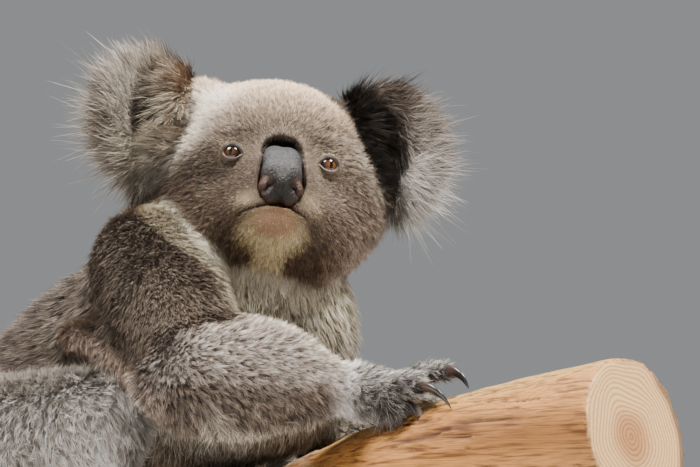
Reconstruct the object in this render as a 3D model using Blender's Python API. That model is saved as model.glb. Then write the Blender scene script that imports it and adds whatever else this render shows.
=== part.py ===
"""A koala squatting on a short cut length of eucalypt limb, which a plain display stand carries.

Metres, +Z up. The origin is the centre of the base's underside. The body faces -Y, its left side
is +X, and its head is turned to its right. Every solid reaches out to the tips of the coat.
Flesh is fused from balls along the bones, parted with thin cuts and trimmed by what it rests on.
"""

import math

import bmesh
import bpy
from mathutils import Matrix, Vector
from mathutils.bvhtree import BVHTree

# ---------------------------------------------------------------- driving dimensions
GAP = 0.0004  # clearance between solids that touch
CUT = 0.0006  # thickness of the cuts that part one length of flesh from the next

# the limb: its top line as (y, height), from the cut end ahead of the hands to the one behind the rump
LIMB_TOP = ((-0.345, 0.372), (-0.160, 0.336), (0.030, 0.260), (0.125, 0.208), (0.290, 0.176))
LIMB_RADIUS = (0.050, 0.056)  # at the front end and at the rear end
LIMB_SWELLING = 0.03  # share by which the limb's radius wanders

# the head, in its own frame of (forward, right, up)
HEAD_CENTRE = Vector((-0.0044, -0.0648, 0.4835))
HEAD_YAW, HEAD_PITCH, HEAD_ROLL = (math.radians(a) for a in (41.5, 14.0, 7.0))
EYE_RADIUS = 0.0080
EYE_PLACE = (0.0500, 0.0322, 0.0080)
EAR_RADIUS, EAR_DEPTH = 0.044, 0.016
EAR_LOCKS, LOCK_LENGTH = 11, 0.010
# each ear's side, its centre in the head's frame, its size, its height over its width, and how far
# from its top, outwards, its longest hair is
EARS = {
    "ear_right": (1, (-0.004, 0.077, 0.047), 1.09, 1.07, math.radians(80.0)),
    "ear_left": (-1, (-0.012, -0.068, 0.048), 1.06, 1.29, math.radians(110.0)),
}

# the joints of the limbs: the right is the side with the elbow out, the left hangs close to the body
RIGHT_SHOULDER, LEFT_SHOULDER = Vector((-0.074, -0.030, 0.434)), Vector((0.076, -0.006, 0.430))
RIGHT_ELBOW, LEFT_ELBOW = Vector((-0.122, -0.110, 0.362)), Vector((0.090, -0.040, 0.340))
RIGHT_WRIST, LEFT_WRIST_TURN = Vector((-0.034, -0.160, 0.354)), -60
RIGHT_KNEE, LEFT_KNEE = Vector((-0.134, -0.028, 0.330)), Vector((0.128, 0.032, 0.284))
FINGER_RADIUS, TOE_RADIUS = 0.0086, 0.0092
CLAW_RADIUS, CLAW_FLATNESS, CLAW_BOW = 0.0036, 0.62, 0.20

BASE_SIZE = (0.300, 0.500, 0.020)
BASE_ROUNDING = 0.004
ROD_RADIUS = 0.009
ROD_PLACES = {"stand_rod_front": -0.200, "stand_rod_rear": 0.195}  # y of each rod

VOXEL = {"trunk": 0.006, "head": 0.004, "member": 0.004, "hand": 0.0028, "nose": 0.0018}
FACES = {
    "trunk": 680,
    "neck": 130,
    "head": 860,
    "upper_arm": 120,
    "forearm": 150,
    "hand": 290,
    "thigh": 160,
    "shank": 100,
    "foot": 260,
    "nose": 160,
}


# ---------------------------------------------------------------- places
def head_matrix():
    """The head's frame: turned to the koala's right, chin raised, right side higher."""
    turned = Matrix.Rotation(-HEAD_YAW, 3, "Z")
    raised = turned @ Matrix.Rotation(-HEAD_PITCH, 3, "X")
    rolled = raised @ Matrix.Rotation(HEAD_ROLL, 3, "Y")
    return Matrix.Translation(HEAD_CENTRE) @ rolled.to_4x4()


HEAD = head_matrix()


def in_head(forward, right, up):
    return HEAD @ Vector((-right, -forward, up))


def spline(values, t):
    """A Catmull-Rom value through evenly spaced values, at t from 0 to their number less one."""
    index = min(int(t), len(values) - 2)
    rows = [values[0] * 2 - values[1], *values, values[-1] * 2 - values[-2]]
    a, b, c, d = rows[index : index + 4]
    s = t - index
    curve = 2 * b + (c - a) * s + (2 * a - 5 * b + 4 * c - d) * s**2 + (3 * b - a - 3 * c + d) * s**3
    return curve * 0.5


def limb_line(count=60):
    """The limb's top line as a close row of points."""
    stations = [Vector((0.0, y, z)) for y, z in LIMB_TOP]
    last = len(stations) - 1
    return [spline(stations, last * i / count) for i in range(count + 1)]


LINE = limb_line()


def limb_at(y):
    """The limb's centre, its upward normal and its radius under the place y of its top line."""
    share = min(max((y - LINE[0].y) / (LINE[-1].y - LINE[0].y), 0.0), 1.0)
    index = 0
    while index < len(LINE) - 2 and LINE[index + 1].y < y:
        index += 1
    before, after = LINE[index], LINE[index + 1]
    along = (after - before).normalized()
    top = before.lerp(after, (y - before.y) / (after.y - before.y))
    upward = Vector((0.0, -along.z, along.y))
    radius = LIMB_RADIUS[0] + (LIMB_RADIUS[1] - LIMB_RADIUS[0]) * share
    return top - upward * radius, upward, radius


def on_limb(y, around, out):
    """A place this far out from the limb's surface; around is 0 on top and 90 degrees on the right."""
    centre, upward, radius = limb_at(y)
    angle = math.radians(around)
    normal = upward * math.cos(angle) + Vector((-1.0, 0.0, 0.0)) * math.sin(angle)
    return centre + normal * (radius + out)


# ---------------------------------------------------------------- mesh tools
def object_of(name, bm):
    """An object of these faces, split into triangles so that every later cut sees the same surface."""
    bmesh.ops.triangulate(bm, faces=bm.faces[:])
    mesh = bpy.data.meshes.new(name)
    bm.to_mesh(mesh)
    bm.free()
    obj = bpy.data.objects.new(name, mesh)
    bpy.context.scene.collection.objects.link(obj)
    return obj


def settled(obj):
    """Applies the object's modifiers, and splits its faces into triangles."""
    bpy.context.view_layer.update()
    graph = bpy.context.evaluated_depsgraph_get()
    mesh = bpy.data.meshes.new_from_object(obj.evaluated_get(graph))
    obj.modifiers.clear()
    bm = bmesh.new()
    bm.from_mesh(mesh)
    bmesh.ops.triangulate(bm, faces=bm.faces[:])
    bm.to_mesh(mesh)
    bm.free()
    obj.data = mesh
    return obj


def add_ball(bm, centre, radii, turn=None):
    """An ellipsoid with its radii along x, y and z, turned by a matrix."""
    matrix = Matrix.Translation(centre) @ (turn or Matrix()) @ Matrix.Diagonal((*radii, 1.0))
    bmesh.ops.create_icosphere(bm, subdivisions=3, radius=1.0, matrix=matrix)


def add_chain(bm, stations, steps=7):
    """Flesh along a bone: balls on a smooth path through (place, radius) stations."""
    rows = [Vector((*place, radius)) for place, radius in stations]
    last = len(rows) - 1
    for i in range(last * steps + 1):
        x, y, z, radius = spline(rows, i / steps)
        matrix = Matrix.Translation((x, y, z)) @ Matrix.Scale(radius, 4)
        bmesh.ops.create_icosphere(bm, subdivisions=2, radius=1.0, matrix=matrix)


def fused(name, bm, voxel, smoothing, faces):
    """One closed skin round overlapping balls, eased and reduced to about so many faces."""
    obj = object_of(name, bm)
    remesh = obj.modifiers.new("Fuse", "REMESH")
    remesh.mode = "VOXEL"
    remesh.voxel_size = voxel
    ease = obj.modifiers.new("Ease", "SMOOTH")
    ease.factor = 0.5
    ease.iterations = smoothing
    settled(obj)
    fewer = obj.modifiers.new("Fewer", "DECIMATE")
    fewer.ratio = min(1.0, faces / len(obj.data.polygons))
    return settled(obj)


def islands(bm):
    """The connected groups of faces, largest first."""
    left, groups = set(bm.faces), []
    for seed in bm.faces:
        if seed not in left:
            continue
        left.discard(seed)
        todo, group = [seed], []
        while todo:
            face = todo.pop()
            group.append(face)
            near = {f for edge in face.edges for f in edge.link_faces} & left
            left -= near
            todo.extend(sorted(near, key=lambda f: f.index))
        groups.append(group)
    return sorted(groups, key=len, reverse=True)


def keep_groups(obj, keep):
    """Leaves only those connected groups of faces whose place in the list is in keep."""
    bm = bmesh.new()
    bm.from_mesh(obj.data)
    extra = [f for i, group in enumerate(islands(bm)) if i not in keep for f in group]
    bmesh.ops.delete(bm, geom=extra, context="FACES")
    bm.to_mesh(obj.data)
    bm.free()
    return obj


def cut_by(obj, other):
    step = obj.modifiers.new("Cut", "BOOLEAN")
    step.operation = "DIFFERENCE"
    step.solver = "EXACT"
    step.object = other
    return settled(obj)


def box_of(obj):
    corners = [v.co for v in obj.data.vertices]
    return [(min(c[i] for c in corners), max(c[i] for c in corners)) for i in range(3)]


def touching(obj, other):
    return all(a[0] < b[1] + GAP and b[0] < a[1] + GAP for a, b in zip(box_of(obj), box_of(other)))


def swollen(obj, gap):
    copy = bpy.data.objects.new("swollen", obj.data.copy())
    bpy.context.scene.collection.objects.link(copy)
    swell = copy.modifiers.new("Swell", "DISPLACE")
    swell.strength = gap
    swell.mid_level = 0.0
    return settled(copy)


def crossing(obj, other):
    """Whether the two surfaces still pass through each other."""
    trees = []
    for each in (obj, other):
        corners = [v.co for v in each.data.vertices]
        trees.append(BVHTree.FromPolygons(corners, [p.vertices for p in each.data.polygons]))
    return bool(trees[0].overlap(trees[1]))


def trimmed(obj, *others):
    """Cuts the others, swollen by the gap, out of this object, and drops the crumbs.

    A cut that comes back empty, or still touching in a crease, is made again with a wider gap."""
    for other in others:
        if not touching(obj, other):
            continue
        uncut = obj.data.copy()
        for share in (1.0, 1.4, 2.0, 3.0, 4.5):
            knife = swollen(other, GAP * share)
            cut_by(obj, knife)
            bpy.data.objects.remove(knife)
            if obj.data.polygons:
                keep_groups(obj, {0})
            if len(obj.data.polygons) > len(uncut.polygons) * 0.3 and not crossing(obj, other):
                break
            obj.data = uncut.copy()
    return obj


def parted(obj, cuts, names):
    """Parts a body with discs given as (centre, normal, radius); names holds each piece's rough middle."""
    for centre, normal, radius in cuts:
        bm = bmesh.new()
        turn = Vector(normal).to_track_quat("Z", "Y").to_matrix().to_4x4()
        matrix = Matrix.Translation(centre) @ turn
        bmesh.ops.create_cone(
            bm, cap_ends=True, segments=24, radius1=radius, radius2=radius, depth=CUT, matrix=matrix
        )
        knife = object_of("knife", bm)
        cut_by(obj, knife)
        bpy.data.objects.remove(knife)
    bm = bmesh.new()
    bm.from_mesh(obj.data)
    middles = []
    for group in islands(bm):
        points = [v.co.copy() for face in group for v in face.verts]
        middles.append(sum(points, Vector()) / len(points))
    bm.free()
    made = {}
    for name, place in names.items():
        nearest = min(range(len(names)), key=lambda i: (middles[i] - Vector(place)).length)
        piece = bpy.data.objects.new(name, obj.data.copy())
        bpy.context.scene.collection.objects.link(piece)
        made[name] = keep_groups(piece, {nearest})
    bpy.data.objects.remove(obj)
    return made


def rings_to_solid(name, rings, start, end):
    """A closed solid over rings of points, with a point at each end."""
    bm = bmesh.new()
    loops = [[bm.verts.new(p) for p in ring] for ring in rings]
    count = len(rings[0])
    for a, b in zip(loops, loops[1:]):
        for i in range(count):
            j = (i + 1) % count
            bm.faces.new((a[i], a[j], b[j], b[i]))
    ends = ((bm.verts.new(start), loops[0], True), (bm.verts.new(end), loops[-1], False))
    for tip, loop, flip in ends:
        for i in range(count):
            j = (i + 1) % count
            corner = (loop[j], loop[i], tip) if flip else (loop[i], loop[j], tip)
            bm.faces.new(corner)
    bmesh.ops.recalc_face_normals(bm, faces=bm.faces)
    return object_of(name, bm)


# ---------------------------------------------------------------- materials
COLOURS = {
    "fur_grey": ((0.20, 0.16, 0.13), 0.90, 0.0),
    "fur_pale": ((0.62, 0.55, 0.42), 0.90, 0.0),
    "nose_skin": ((0.07, 0.06, 0.06), 0.45, 0.0),
    "eye": ((0.10, 0.04, 0.015), 0.06, 0.0),
    "claw": ((0.03, 0.025, 0.02), 0.30, 0.0),
    "eucalypt_wood": ((0.50, 0.28, 0.13), 0.70, 0.0),
    "stand_wood": ((0.10, 0.06, 0.04), 0.45, 0.0),
    "stand_steel": ((0.55, 0.55, 0.56), 0.30, 1.0),
}


def finish(obj, slot):
    colour, roughness, metallic = COLOURS[slot]
    material = bpy.data.materials.new(slot + "_" + obj.name)
    material.use_nodes = True
    shader = material.node_tree.nodes["Principled BSDF"]
    shader.inputs["Base Color"].default_value = (*colour, 1.0)
    shader.inputs["Roughness"].default_value = roughness
    shader.inputs["Metallic"].default_value = metallic
    obj.data.materials.clear()
    obj.data.materials.append(material)
    return obj


# ---------------------------------------------------------------- the limb and the stand
def make_limb():
    """The cut length of limb, its radius wandering a little, with two sawn ends."""
    around, along = 18, 13
    first, last = LIMB_TOP[0][0], LIMB_TOP[-1][0]
    rings = []
    for i in range(along + 1):
        y = first + (last - first) * i / along
        centre, upward, radius = limb_at(y)
        ring = []
        for j in range(around):
            angle = math.tau * j / around
            wander = math.sin(3 * angle + 9 * y) + math.sin(2 * angle - 21 * y)
            reach = radius * (1 - LIMB_SWELLING * (1 - 0.5 * wander) * (1 - math.cos(angle)) / 2)
            normal = upward * math.cos(angle) + Vector((-1.0, 0.0, 0.0)) * math.sin(angle)
            ring.append(centre + normal * reach)
        rings.append(ring)
    return rings_to_solid("perch_limb", rings, limb_at(first)[0], limb_at(last)[0])


def make_stand(limb):
    """A flat base with two upright rods that end against the limb's underside."""
    bm = bmesh.new()
    width, depth, height = BASE_SIZE
    matrix = Matrix.Translation((0.0, 0.0, height / 2)) @ Matrix.Diagonal((width, depth, height, 1.0))
    bmesh.ops.create_cube(bm, size=1.0, matrix=matrix)
    upper = [e for e in bm.edges if max(v.co.z for v in e.verts) > height / 2]
    bmesh.ops.bevel(bm, geom=upper, offset=BASE_ROUNDING, segments=3, profile=0.5, affect="EDGES")
    base = finish(object_of("stand_base", bm), "stand_wood")
    for name, y in ROD_PLACES.items():
        bottom, top = height + GAP, limb_at(y)[0].z
        bm = bmesh.new()
        middle = Matrix.Translation((0.0, y, (bottom + top) / 2))
        size = {"radius1": ROD_RADIUS, "radius2": ROD_RADIUS, "depth": top - bottom}
        bmesh.ops.create_cone(bm, cap_ends=True, segments=16, matrix=middle, **size)
        rod = finish(trimmed(object_of(name, bm), limb), "stand_steel")
        rod.data.shade_smooth()
        rod.data.set_sharp_from_angle(angle=math.radians(40))
    return base


# ---------------------------------------------------------------- the head
def make_head():
    """Skull, brow, cheeks, jowls, muzzle and chin in one, out to the tips of the coat."""
    bm = bmesh.new()
    turn = HEAD.to_3x3().to_4x4()

    def ball(forward, right, up, radii):
        front, side, height = radii
        add_ball(bm, in_head(forward, right, up), (side, front, height), turn)

    ball(-0.012, 0.0, 0.022, (0.072, 0.070, 0.060))  # braincase
    ball(0.022, 0.0, 0.030, (0.040, 0.052, 0.040))  # brow
    ball(0.054, 0.0, -0.014, (0.026, 0.028, 0.034))  # muzzle under the nose
    ball(0.054, 0.0, -0.038, (0.024, 0.025, 0.019))  # chin
    ball(0.018, 0.0, -0.036, (0.038, 0.038, 0.026))  # throat
    for side in (-1, 1):
        ball(-0.004, side * 0.042, 0.000, (0.052, 0.037, 0.046))  # cheek
        ball(0.026, side * 0.031, -0.032, (0.036, 0.028, 0.032))  # jowl
        ball(0.034, side * 0.034, 0.010, (0.022, 0.022, 0.024))  # rim of the eye socket
        ball(0.056, side * 0.014, -0.026, (0.020, 0.018, 0.016))  # upper lip
        ball(-0.012, side * 0.050, 0.050, (0.030, 0.030, 0.032))  # root of the ear
    return fused("head", bm, VOXEL["head"], 7, FACES["head"])


def make_nose():
    """The long bare nose pad: narrow between the eyes, broad and deep over the lip."""
    bm = bmesh.new()
    turn = HEAD.to_3x3().to_4x4()
    bridge, middle = (0.061, 0.0075, 0.0095), (0.071, -0.001, 0.0115)
    nostrils, lip = (0.078, -0.012, 0.0138), (0.076, -0.021, 0.0122)
    steps = 12
    rows = [Vector(row) for row in (bridge, middle, nostrils, lip)]
    for i in range(steps + 1):
        forward, up, radius = spline(rows, (len(rows) - 1) * i / steps)
        add_ball(bm, in_head(forward, 0.0, up), (radius * 1.06, radius * 0.92, radius), turn)
    return fused("nose", bm, VOXEL["nose"], 3, FACES["nose"])


def make_eye(name, side):
    forward, right, up = EYE_PLACE
    bm = bmesh.new()
    centre = in_head(forward, side * right, up)
    bmesh.ops.create_uvsphere(
        bm, u_segments=10, v_segments=7, radius=EYE_RADIUS, matrix=Matrix.Translation(centre)
    )
    return object_of(name, bm)


def ear_reach(turn, lean):
    """How far the fringe reaches at this angle from the ear's top: longer outwards and below, in locks."""
    outward = 0.5 + 0.5 * math.cos(turn - lean)
    lock = abs(math.sin(EAR_LOCKS * turn / 2))
    return EAR_RADIUS * (0.84 + 0.30 * outward) + LOCK_LENGTH * (0.3 + 0.7 * outward) * (1 - lock)


def make_ear(name):
    """A cupped ear with a shaggy rim. Its hollow faces forward and outward."""
    side, centre, size, tallness, lean = EARS[name]
    tilt = Matrix.Rotation(side * math.radians(28.0), 4, "Z")
    frame = HEAD.to_3x3().to_4x4() @ tilt
    around = 2 * EAR_LOCKS
    origin = in_head(*centre)

    def point(turn, share, forward):
        reach = size * share * ear_reach(turn, lean)
        across, upward = math.sin(turn) * reach, math.cos(turn) * reach * tallness
        return origin + frame @ Vector((-side * across, -forward, upward))

    rings = []
    for share, forward in ((0.45, -0.1), (0.80, 0.5), (1.0, 0.25), (0.92, -0.5), (0.60, -1.15)):
        rings.append([point(math.tau * i / around, share, EAR_DEPTH * forward) for i in range(around)])
    front = point(0.0, 0.0, -0.35 * EAR_DEPTH)
    back = point(0.0, 0.0, -1.45 * EAR_DEPTH)
    return rings_to_solid(name, rings, front, back)


# ---------------------------------------------------------------- the trunk
def make_trunk():
    """Breast to rump in one, parted into chest, belly and rump once the limb has been cut out of it."""
    bm = bmesh.new()
    add_ball(bm, (0.0, -0.018, 0.402), (0.094, 0.092, 0.088))  # ribcage
    add_ball(bm, (0.0, -0.050, 0.383), (0.074, 0.062, 0.074))  # breast
    add_ball(bm, (0.0, 0.062, 0.352), (0.104, 0.100, 0.100))  # loin
    add_ball(bm, (0.0, 0.128, 0.308), (0.116, 0.106, 0.099))  # belly
    add_ball(bm, (0.0, 0.168, 0.278), (0.114, 0.106, 0.084))  # rump
    for side in (-1, 1):
        add_ball(bm, (side * 0.052, -0.010, 0.420), (0.050, 0.054, 0.054))  # shoulder blade
    return fused("trunk", bm, VOXEL["trunk"], 6, FACES["trunk"])


def part_trunk(trunk):
    waist, hips = (0.0, 0.034, 0.380), (0.0, 0.126, 0.315)
    cuts = ((waist, (0.0, 0.82, -0.57), 0.22), (hips, (0.0, 0.86, -0.51), 0.22))
    middles = {"chest": (0.0, -0.050, 0.400), "belly": (0.0, 0.080, 0.350), "rump": (0.0, 0.200, 0.285)}
    return parted(trunk, cuts, middles)


def make_neck():
    """A short thick neck between the chest and the back of the skull, its ruff folded on the right."""
    bm = bmesh.new()
    shoulders, nape = Vector((0.0, -0.004, 0.420)), in_head(-0.020, 0.0, -0.010)
    add_chain(bm, ((shoulders, 0.076), (nape.lerp(shoulders, 0.4), 0.075), (nape, 0.066)))
    jaw, temple = in_head(-0.030, 0.050, -0.020), in_head(-0.030, 0.052, 0.012)
    add_chain(bm, ((shoulders, 0.060), (jaw, 0.044), (temple, 0.036)))
    return fused("neck", bm, VOXEL["trunk"], 4, FACES["neck"])


# ---------------------------------------------------------------- the limbs of the body
def make_claw(name, root, tip, outward):
    """A curved, tapering claw, thinner from side to side than it is deep, bowed away from the limb."""
    around, along = 6, 4
    chord = tip - root
    bow = outward - chord * (outward.dot(chord) / chord.length_squared)
    bow = bow.normalized() * chord.length * CLAW_BOW
    side = chord.cross(bow).normalized()
    rings = []
    for i in range(along):
        t = i / along
        centre = root + chord * t + bow * (4 * t * (1 - t))
        upward = side.cross(chord + bow * 4 * (1 - 2 * t)).normalized()
        depth = CLAW_RADIUS * (1 - t) ** 0.6
        ring = []
        for j in range(around):
            angle = math.tau * j / around
            across = side * (CLAW_FLATNESS * depth * math.cos(angle))
            ring.append(centre + across + upward * (depth * math.sin(angle)))
        rings.append(ring)
    return rings_to_solid(name, rings, root - chord.normalized() * CLAW_RADIUS * 0.3, tip)


def outward_from_limb(point):
    centre, upward, _ = limb_at(point.y)
    away = point - centre
    away.y = 0.0
    return away.normalized()


def chain_solid(name, stations, kind, faces):
    bm = bmesh.new()
    add_chain(bm, stations)
    return fused(name, bm, VOXEL[kind], 3, FACES[faces])


def make_paw(name, bones, digits, radius, faces):
    """A hand or foot out to its digits, and the claws. digits maps a claw's name to its digit's places,
    the last of them the claw's tip; a name that starts with no_ stands for a digit with no claw."""
    bm, claws = bmesh.new(), []
    add_chain(bm, bones)
    for claw, places in digits.items():
        flesh = places if claw.startswith("no_") else places[:-1]
        add_chain(bm, [(place, radius * (1.0 - 0.06 * i)) for i, place in enumerate(flesh)])
        if flesh is not places:
            claws.append(make_claw(claw, places[-2], places[-1], outward_from_limb(places[-2])))
    return fused(name, bm, VOXEL["hand"], 3, faces), claws


def right_arm():
    """The upper arm, with the fold of loose skin that hangs behind it to the flank, and the forearm."""
    bm = bmesh.new()
    above = Vector((-0.106, -0.074, 0.400))
    add_chain(bm, ((RIGHT_SHOULDER, 0.046), (above, 0.043), (RIGHT_ELBOW, 0.035)))
    flank = ((-0.100, 0.026, 0.392), (-0.118, -0.026, 0.387))
    elbow = ((-0.130, -0.066, 0.371), (-0.130, -0.084, 0.354))
    fold = [Vector(place) for place in (*flank, *elbow)]
    add_chain(bm, [(place, 0.013) for place in fold])
    add_chain(bm, [(place.lerp(above, 0.30), 0.012) for place in fold])
    upper = fused("upper_arm_right", bm, VOXEL["member"], 3, FACES["upper_arm"])
    middle, lower = Vector((-0.084, -0.132, 0.363)), Vector((-0.056, -0.150, 0.357))
    stations = ((RIGHT_ELBOW, 0.0425), (middle, 0.037), (lower, 0.023), (RIGHT_WRIST, 0.0175))
    return upper, chain_solid("forearm_right", stations, "member", "forearm")


def right_hand():
    """Lies over the top of the limb: three fingers forward, the two thumbs down its far side."""
    bones = ((RIGHT_WRIST, 0.0175), (Vector((-0.032, -0.174, 0.354)), 0.0175))
    millimetres = (
        ((-8, -162, 350), (20, -168, 343), (35, -174, 333), (48, -182, 317)),
        ((-10, -172, 352), (18, -184, 347), (31, -194, 338), (43, -206, 324)),
        ((-22, -182, 354), (-17, -204, 365), (-18, -222, 364), (-21, -243, 353)),
        ((-32, -178, 352), (-35, -198, 358), (-36, -216, 355), (-34, -240, 340)),
        ((-40, -168, 348), (-43, -184, 349), (-40, -196, 346), (-31, -212, 338)),
    )
    digits = {}
    for number, places in enumerate(millimetres, start=1):
        digits[f"claw_right_hand_{number}"] = [Vector(place) / 1000 for place in places]
    return make_paw("hand_right", bones, digits, FINGER_RADIUS, FACES["hand"])


def left_arm():
    """Reaches down the far side of the body to the limb's left flank."""
    above, wrist = Vector((0.090, -0.012, 0.380)), on_limb(-0.094, LEFT_WRIST_TURN, 0.020)
    stations = ((LEFT_SHOULDER, 0.046), (above, 0.038), (LEFT_ELBOW, 0.029))
    upper = chain_solid("upper_arm_left", stations, "member", "upper_arm")
    stations = ((LEFT_ELBOW, 0.036), (Vector((0.080, -0.066, 0.322)), 0.028), (wrist, 0.019))
    return upper, chain_solid("forearm_left", stations, "member", "forearm")


def left_hand():
    """Grips the limb's left flank."""
    wrist, palm = on_limb(-0.094, LEFT_WRIST_TURN, 0.020), on_limb(-0.112, LEFT_WRIST_TURN, 0.014)
    bones = ((wrist, 0.019), (palm, 0.018))
    digits = {}
    for number, around in enumerate((-40, -50, -62, -75, -88), start=1):
        reach = 0.012 if number < 3 else 0.0
        places = ((-0.116 + reach, 13), (-0.138 + reach, 14), (-0.152 + reach, 10), (-0.174 + reach, 0.8))
        digits[f"claw_left_hand_{number}"] = [on_limb(y, around, out / 1000) for y, out in places]
    return make_paw("hand_left", bones, digits, FINGER_RADIUS, FACES["hand"])


def make_leg(label, side, knee, hip, thigh, shank):
    """Thigh, shank and foot. The foot lies along the limb's flank, its clawless first toe turned under."""
    ankle = on_limb(0.062, side * 62, 0.026)
    stations = ((Vector(hip), 0.070), (Vector(thigh), 0.060), (knee, 0.043))
    upper = chain_solid(f"thigh_{label}", stations, "member", "thigh")
    stations = ((knee, 0.040), (Vector(shank), 0.036), (ankle, 0.025))
    lower = chain_solid(f"shank_{label}", stations, "member", "shank")
    bones = (
        (ankle, 0.024),
        (on_limb(0.034, side * 66, 0.017), 0.020),
        (on_limb(-0.004, side * 62, 0.014), 0.020),
        (on_limb(-0.024, side * 58, 0.013), 0.019),
    )
    digits = {}
    for number, around in ((2, 30), (3, 44), (4, 60), (5, 78)):
        turned = 0.5 * (around + 58)
        stations = ((-0.024, turned, 13), (-0.044, around, 14), (-0.058, around, 10), (-0.080, around, 0.8))
        places = [on_limb(y, side * turn, out / 1000) for y, turn, out in stations]
        digits[f"claw_{label}_foot_{number}"] = places
    stations = ((0.022, 84, 12), (0.016, 102, 11), (0.009, 117, 9))
    digits["no_claw"] = [on_limb(y, side * turn, out / 1000) for y, turn, out in stations]
    foot, claws = make_paw(f"foot_{label}", bones, digits, TOE_RADIUS, FACES["foot"])
    return upper, lower, foot, claws


# ---------------------------------------------------------------- the whole
def clear_scene():
    for obj in list(bpy.data.objects):
        bpy.data.objects.remove(obj)


def make_head_group():
    """Head, nose, eyes and ears; the eyes and nose sit in pockets of the head."""
    eyes = [make_eye("eye_right", 1), make_eye("eye_left", -1)]
    nose = make_nose()
    head = trimmed(make_head(), nose, *eyes)
    ears = [trimmed(make_ear(name), head) for name in EARS]
    for eye in eyes:
        finish(eye, "eye")
    finish(nose, "nose_skin")
    return head, ears, [nose, *eyes]


def make_koala(limb):
    """Every part of the animal, each trimmed by those made before it and by the limb."""
    head, ears, small = make_head_group()
    trunk = trimmed(make_trunk(), limb, head)
    neck = trimmed(make_neck(), trunk, head, *ears)
    made = [trunk, head, neck, *ears]
    for make_arm, make_hand in ((right_arm, right_hand), (left_arm, left_hand)):
        for piece in make_arm():
            made.append(trimmed(piece, *made, limb))
        hand, claws = make_hand()
        made.append(trimmed(hand, *made, limb))
        small += [finish(trimmed(claw, hand, limb), "claw") for claw in claws]
    legs = (
        ("right", 1, RIGHT_KNEE, (-0.068, 0.150, 0.288), (-0.118, 0.066, 0.310), (-0.108, 0.014, 0.276)),
        ("left", -1, LEFT_KNEE, (0.068, 0.152, 0.286), (0.112, 0.090, 0.290), (0.100, 0.044, 0.254)),
    )
    for row in legs:
        upper, lower, foot, claws = make_leg(*row)
        for piece in (upper, lower, foot):
            made.append(trimmed(piece, *made, limb))
        small += [finish(trimmed(claw, foot, limb), "claw") for claw in claws]
    whole = [*made[1:], *part_trunk(trunk).values()]
    for piece in whole:
        finish(piece, "fur_pale" if piece.name == "chest" else "fur_grey")
    for piece in (*whole, *small):
        piece.data.shade_smooth()


clear_scene()
perch = finish(make_limb(), "eucalypt_wood")
make_stand(perch)
make_koala(perch)
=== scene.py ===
"""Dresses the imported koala: one skin under a coat of locks, a bare nose, eyes, claws, the limb and the stand.

Metres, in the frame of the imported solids. The animal's parts take their places from the solids;
the head's own frame is (forward, right, up), with its origin found from the two eyes.
"""

import math

import bmesh
import bpy
import numpy as np
from mathutils import Matrix, Vector
from mathutils.bvhtree import BVHTree
from mathutils.kdtree import KDTree


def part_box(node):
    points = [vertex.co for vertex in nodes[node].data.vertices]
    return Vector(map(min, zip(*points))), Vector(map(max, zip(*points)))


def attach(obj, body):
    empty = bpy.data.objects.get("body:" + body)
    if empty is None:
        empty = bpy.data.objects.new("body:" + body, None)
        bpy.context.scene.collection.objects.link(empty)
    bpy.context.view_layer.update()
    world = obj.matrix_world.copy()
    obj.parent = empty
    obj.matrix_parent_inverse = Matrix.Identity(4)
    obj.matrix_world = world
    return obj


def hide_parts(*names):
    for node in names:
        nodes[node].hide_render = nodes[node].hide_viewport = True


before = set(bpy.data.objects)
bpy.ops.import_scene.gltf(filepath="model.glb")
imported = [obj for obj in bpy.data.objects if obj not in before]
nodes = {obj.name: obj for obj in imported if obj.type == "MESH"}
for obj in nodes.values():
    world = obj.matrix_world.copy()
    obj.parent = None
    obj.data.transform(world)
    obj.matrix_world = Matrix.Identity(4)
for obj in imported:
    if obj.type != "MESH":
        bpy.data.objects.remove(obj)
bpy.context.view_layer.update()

# ---- named values
HEAD_YAW, HEAD_PITCH, HEAD_ROLL = (math.radians(a) for a in (41.5, 14.0, 7.0))
EYE_PLACE = (0.05, 0.0322, 0.008)  # forward, right, up of each eye's middle in the head's frame
EYE_RADIUS = 0.008
# each ear's side, its centre in the head's frame, and its height over its width
EARS = {"ear_right": (1, (-0.004, 0.077, 0.047), 1.07), "ear_left": (-1, (-0.012, -0.068, 0.048), 1.29)}
EAR_TILT = math.radians(28.0)

CAMERA_AZIMUTH, CAMERA_ELEVATION, CAMERA_DISTANCE = math.radians(-50.0), math.radians(-5.0), 2.5
CAMERA_AIM, LIGHT_AIM = Vector((0.0286, -0.106, 0.46)), Vector((0.0, -0.05, 0.4))
IMAGE_WIDTH, MILLIMETRES_PER_PIXEL, SENSOR = 700, 0.65, 36.0

SKIN_VOXEL, NOSE_VOXEL, LIMB_VOXEL = 0.0032, 0.0008, 0.0026
SWELL = 0.0007  # how far the solids of flesh are swollen so that they fuse
EASE_ROUNDS, BACK_ROUNDS, FOLD_ROUNDS = 14, 240, 120  # of smoothing: all the skin, the back, the fold's rear end
LOCKS_IN_TUFT = 10
SEED = 20260
PIECE_TRIANGLES = 190_000

SIDES = {1: "right", -1: "left"}
ARM, LEG = ("upper_arm", "forearm", "hand"), ("thigh", "shank", "foot")
FLESH = ["head", "neck", "chest", "belly", "rump"]
FLESH += [f"{part}_{side}" for limb in (ARM, LEG) for side in SIDES.values() for part in limb]

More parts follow.
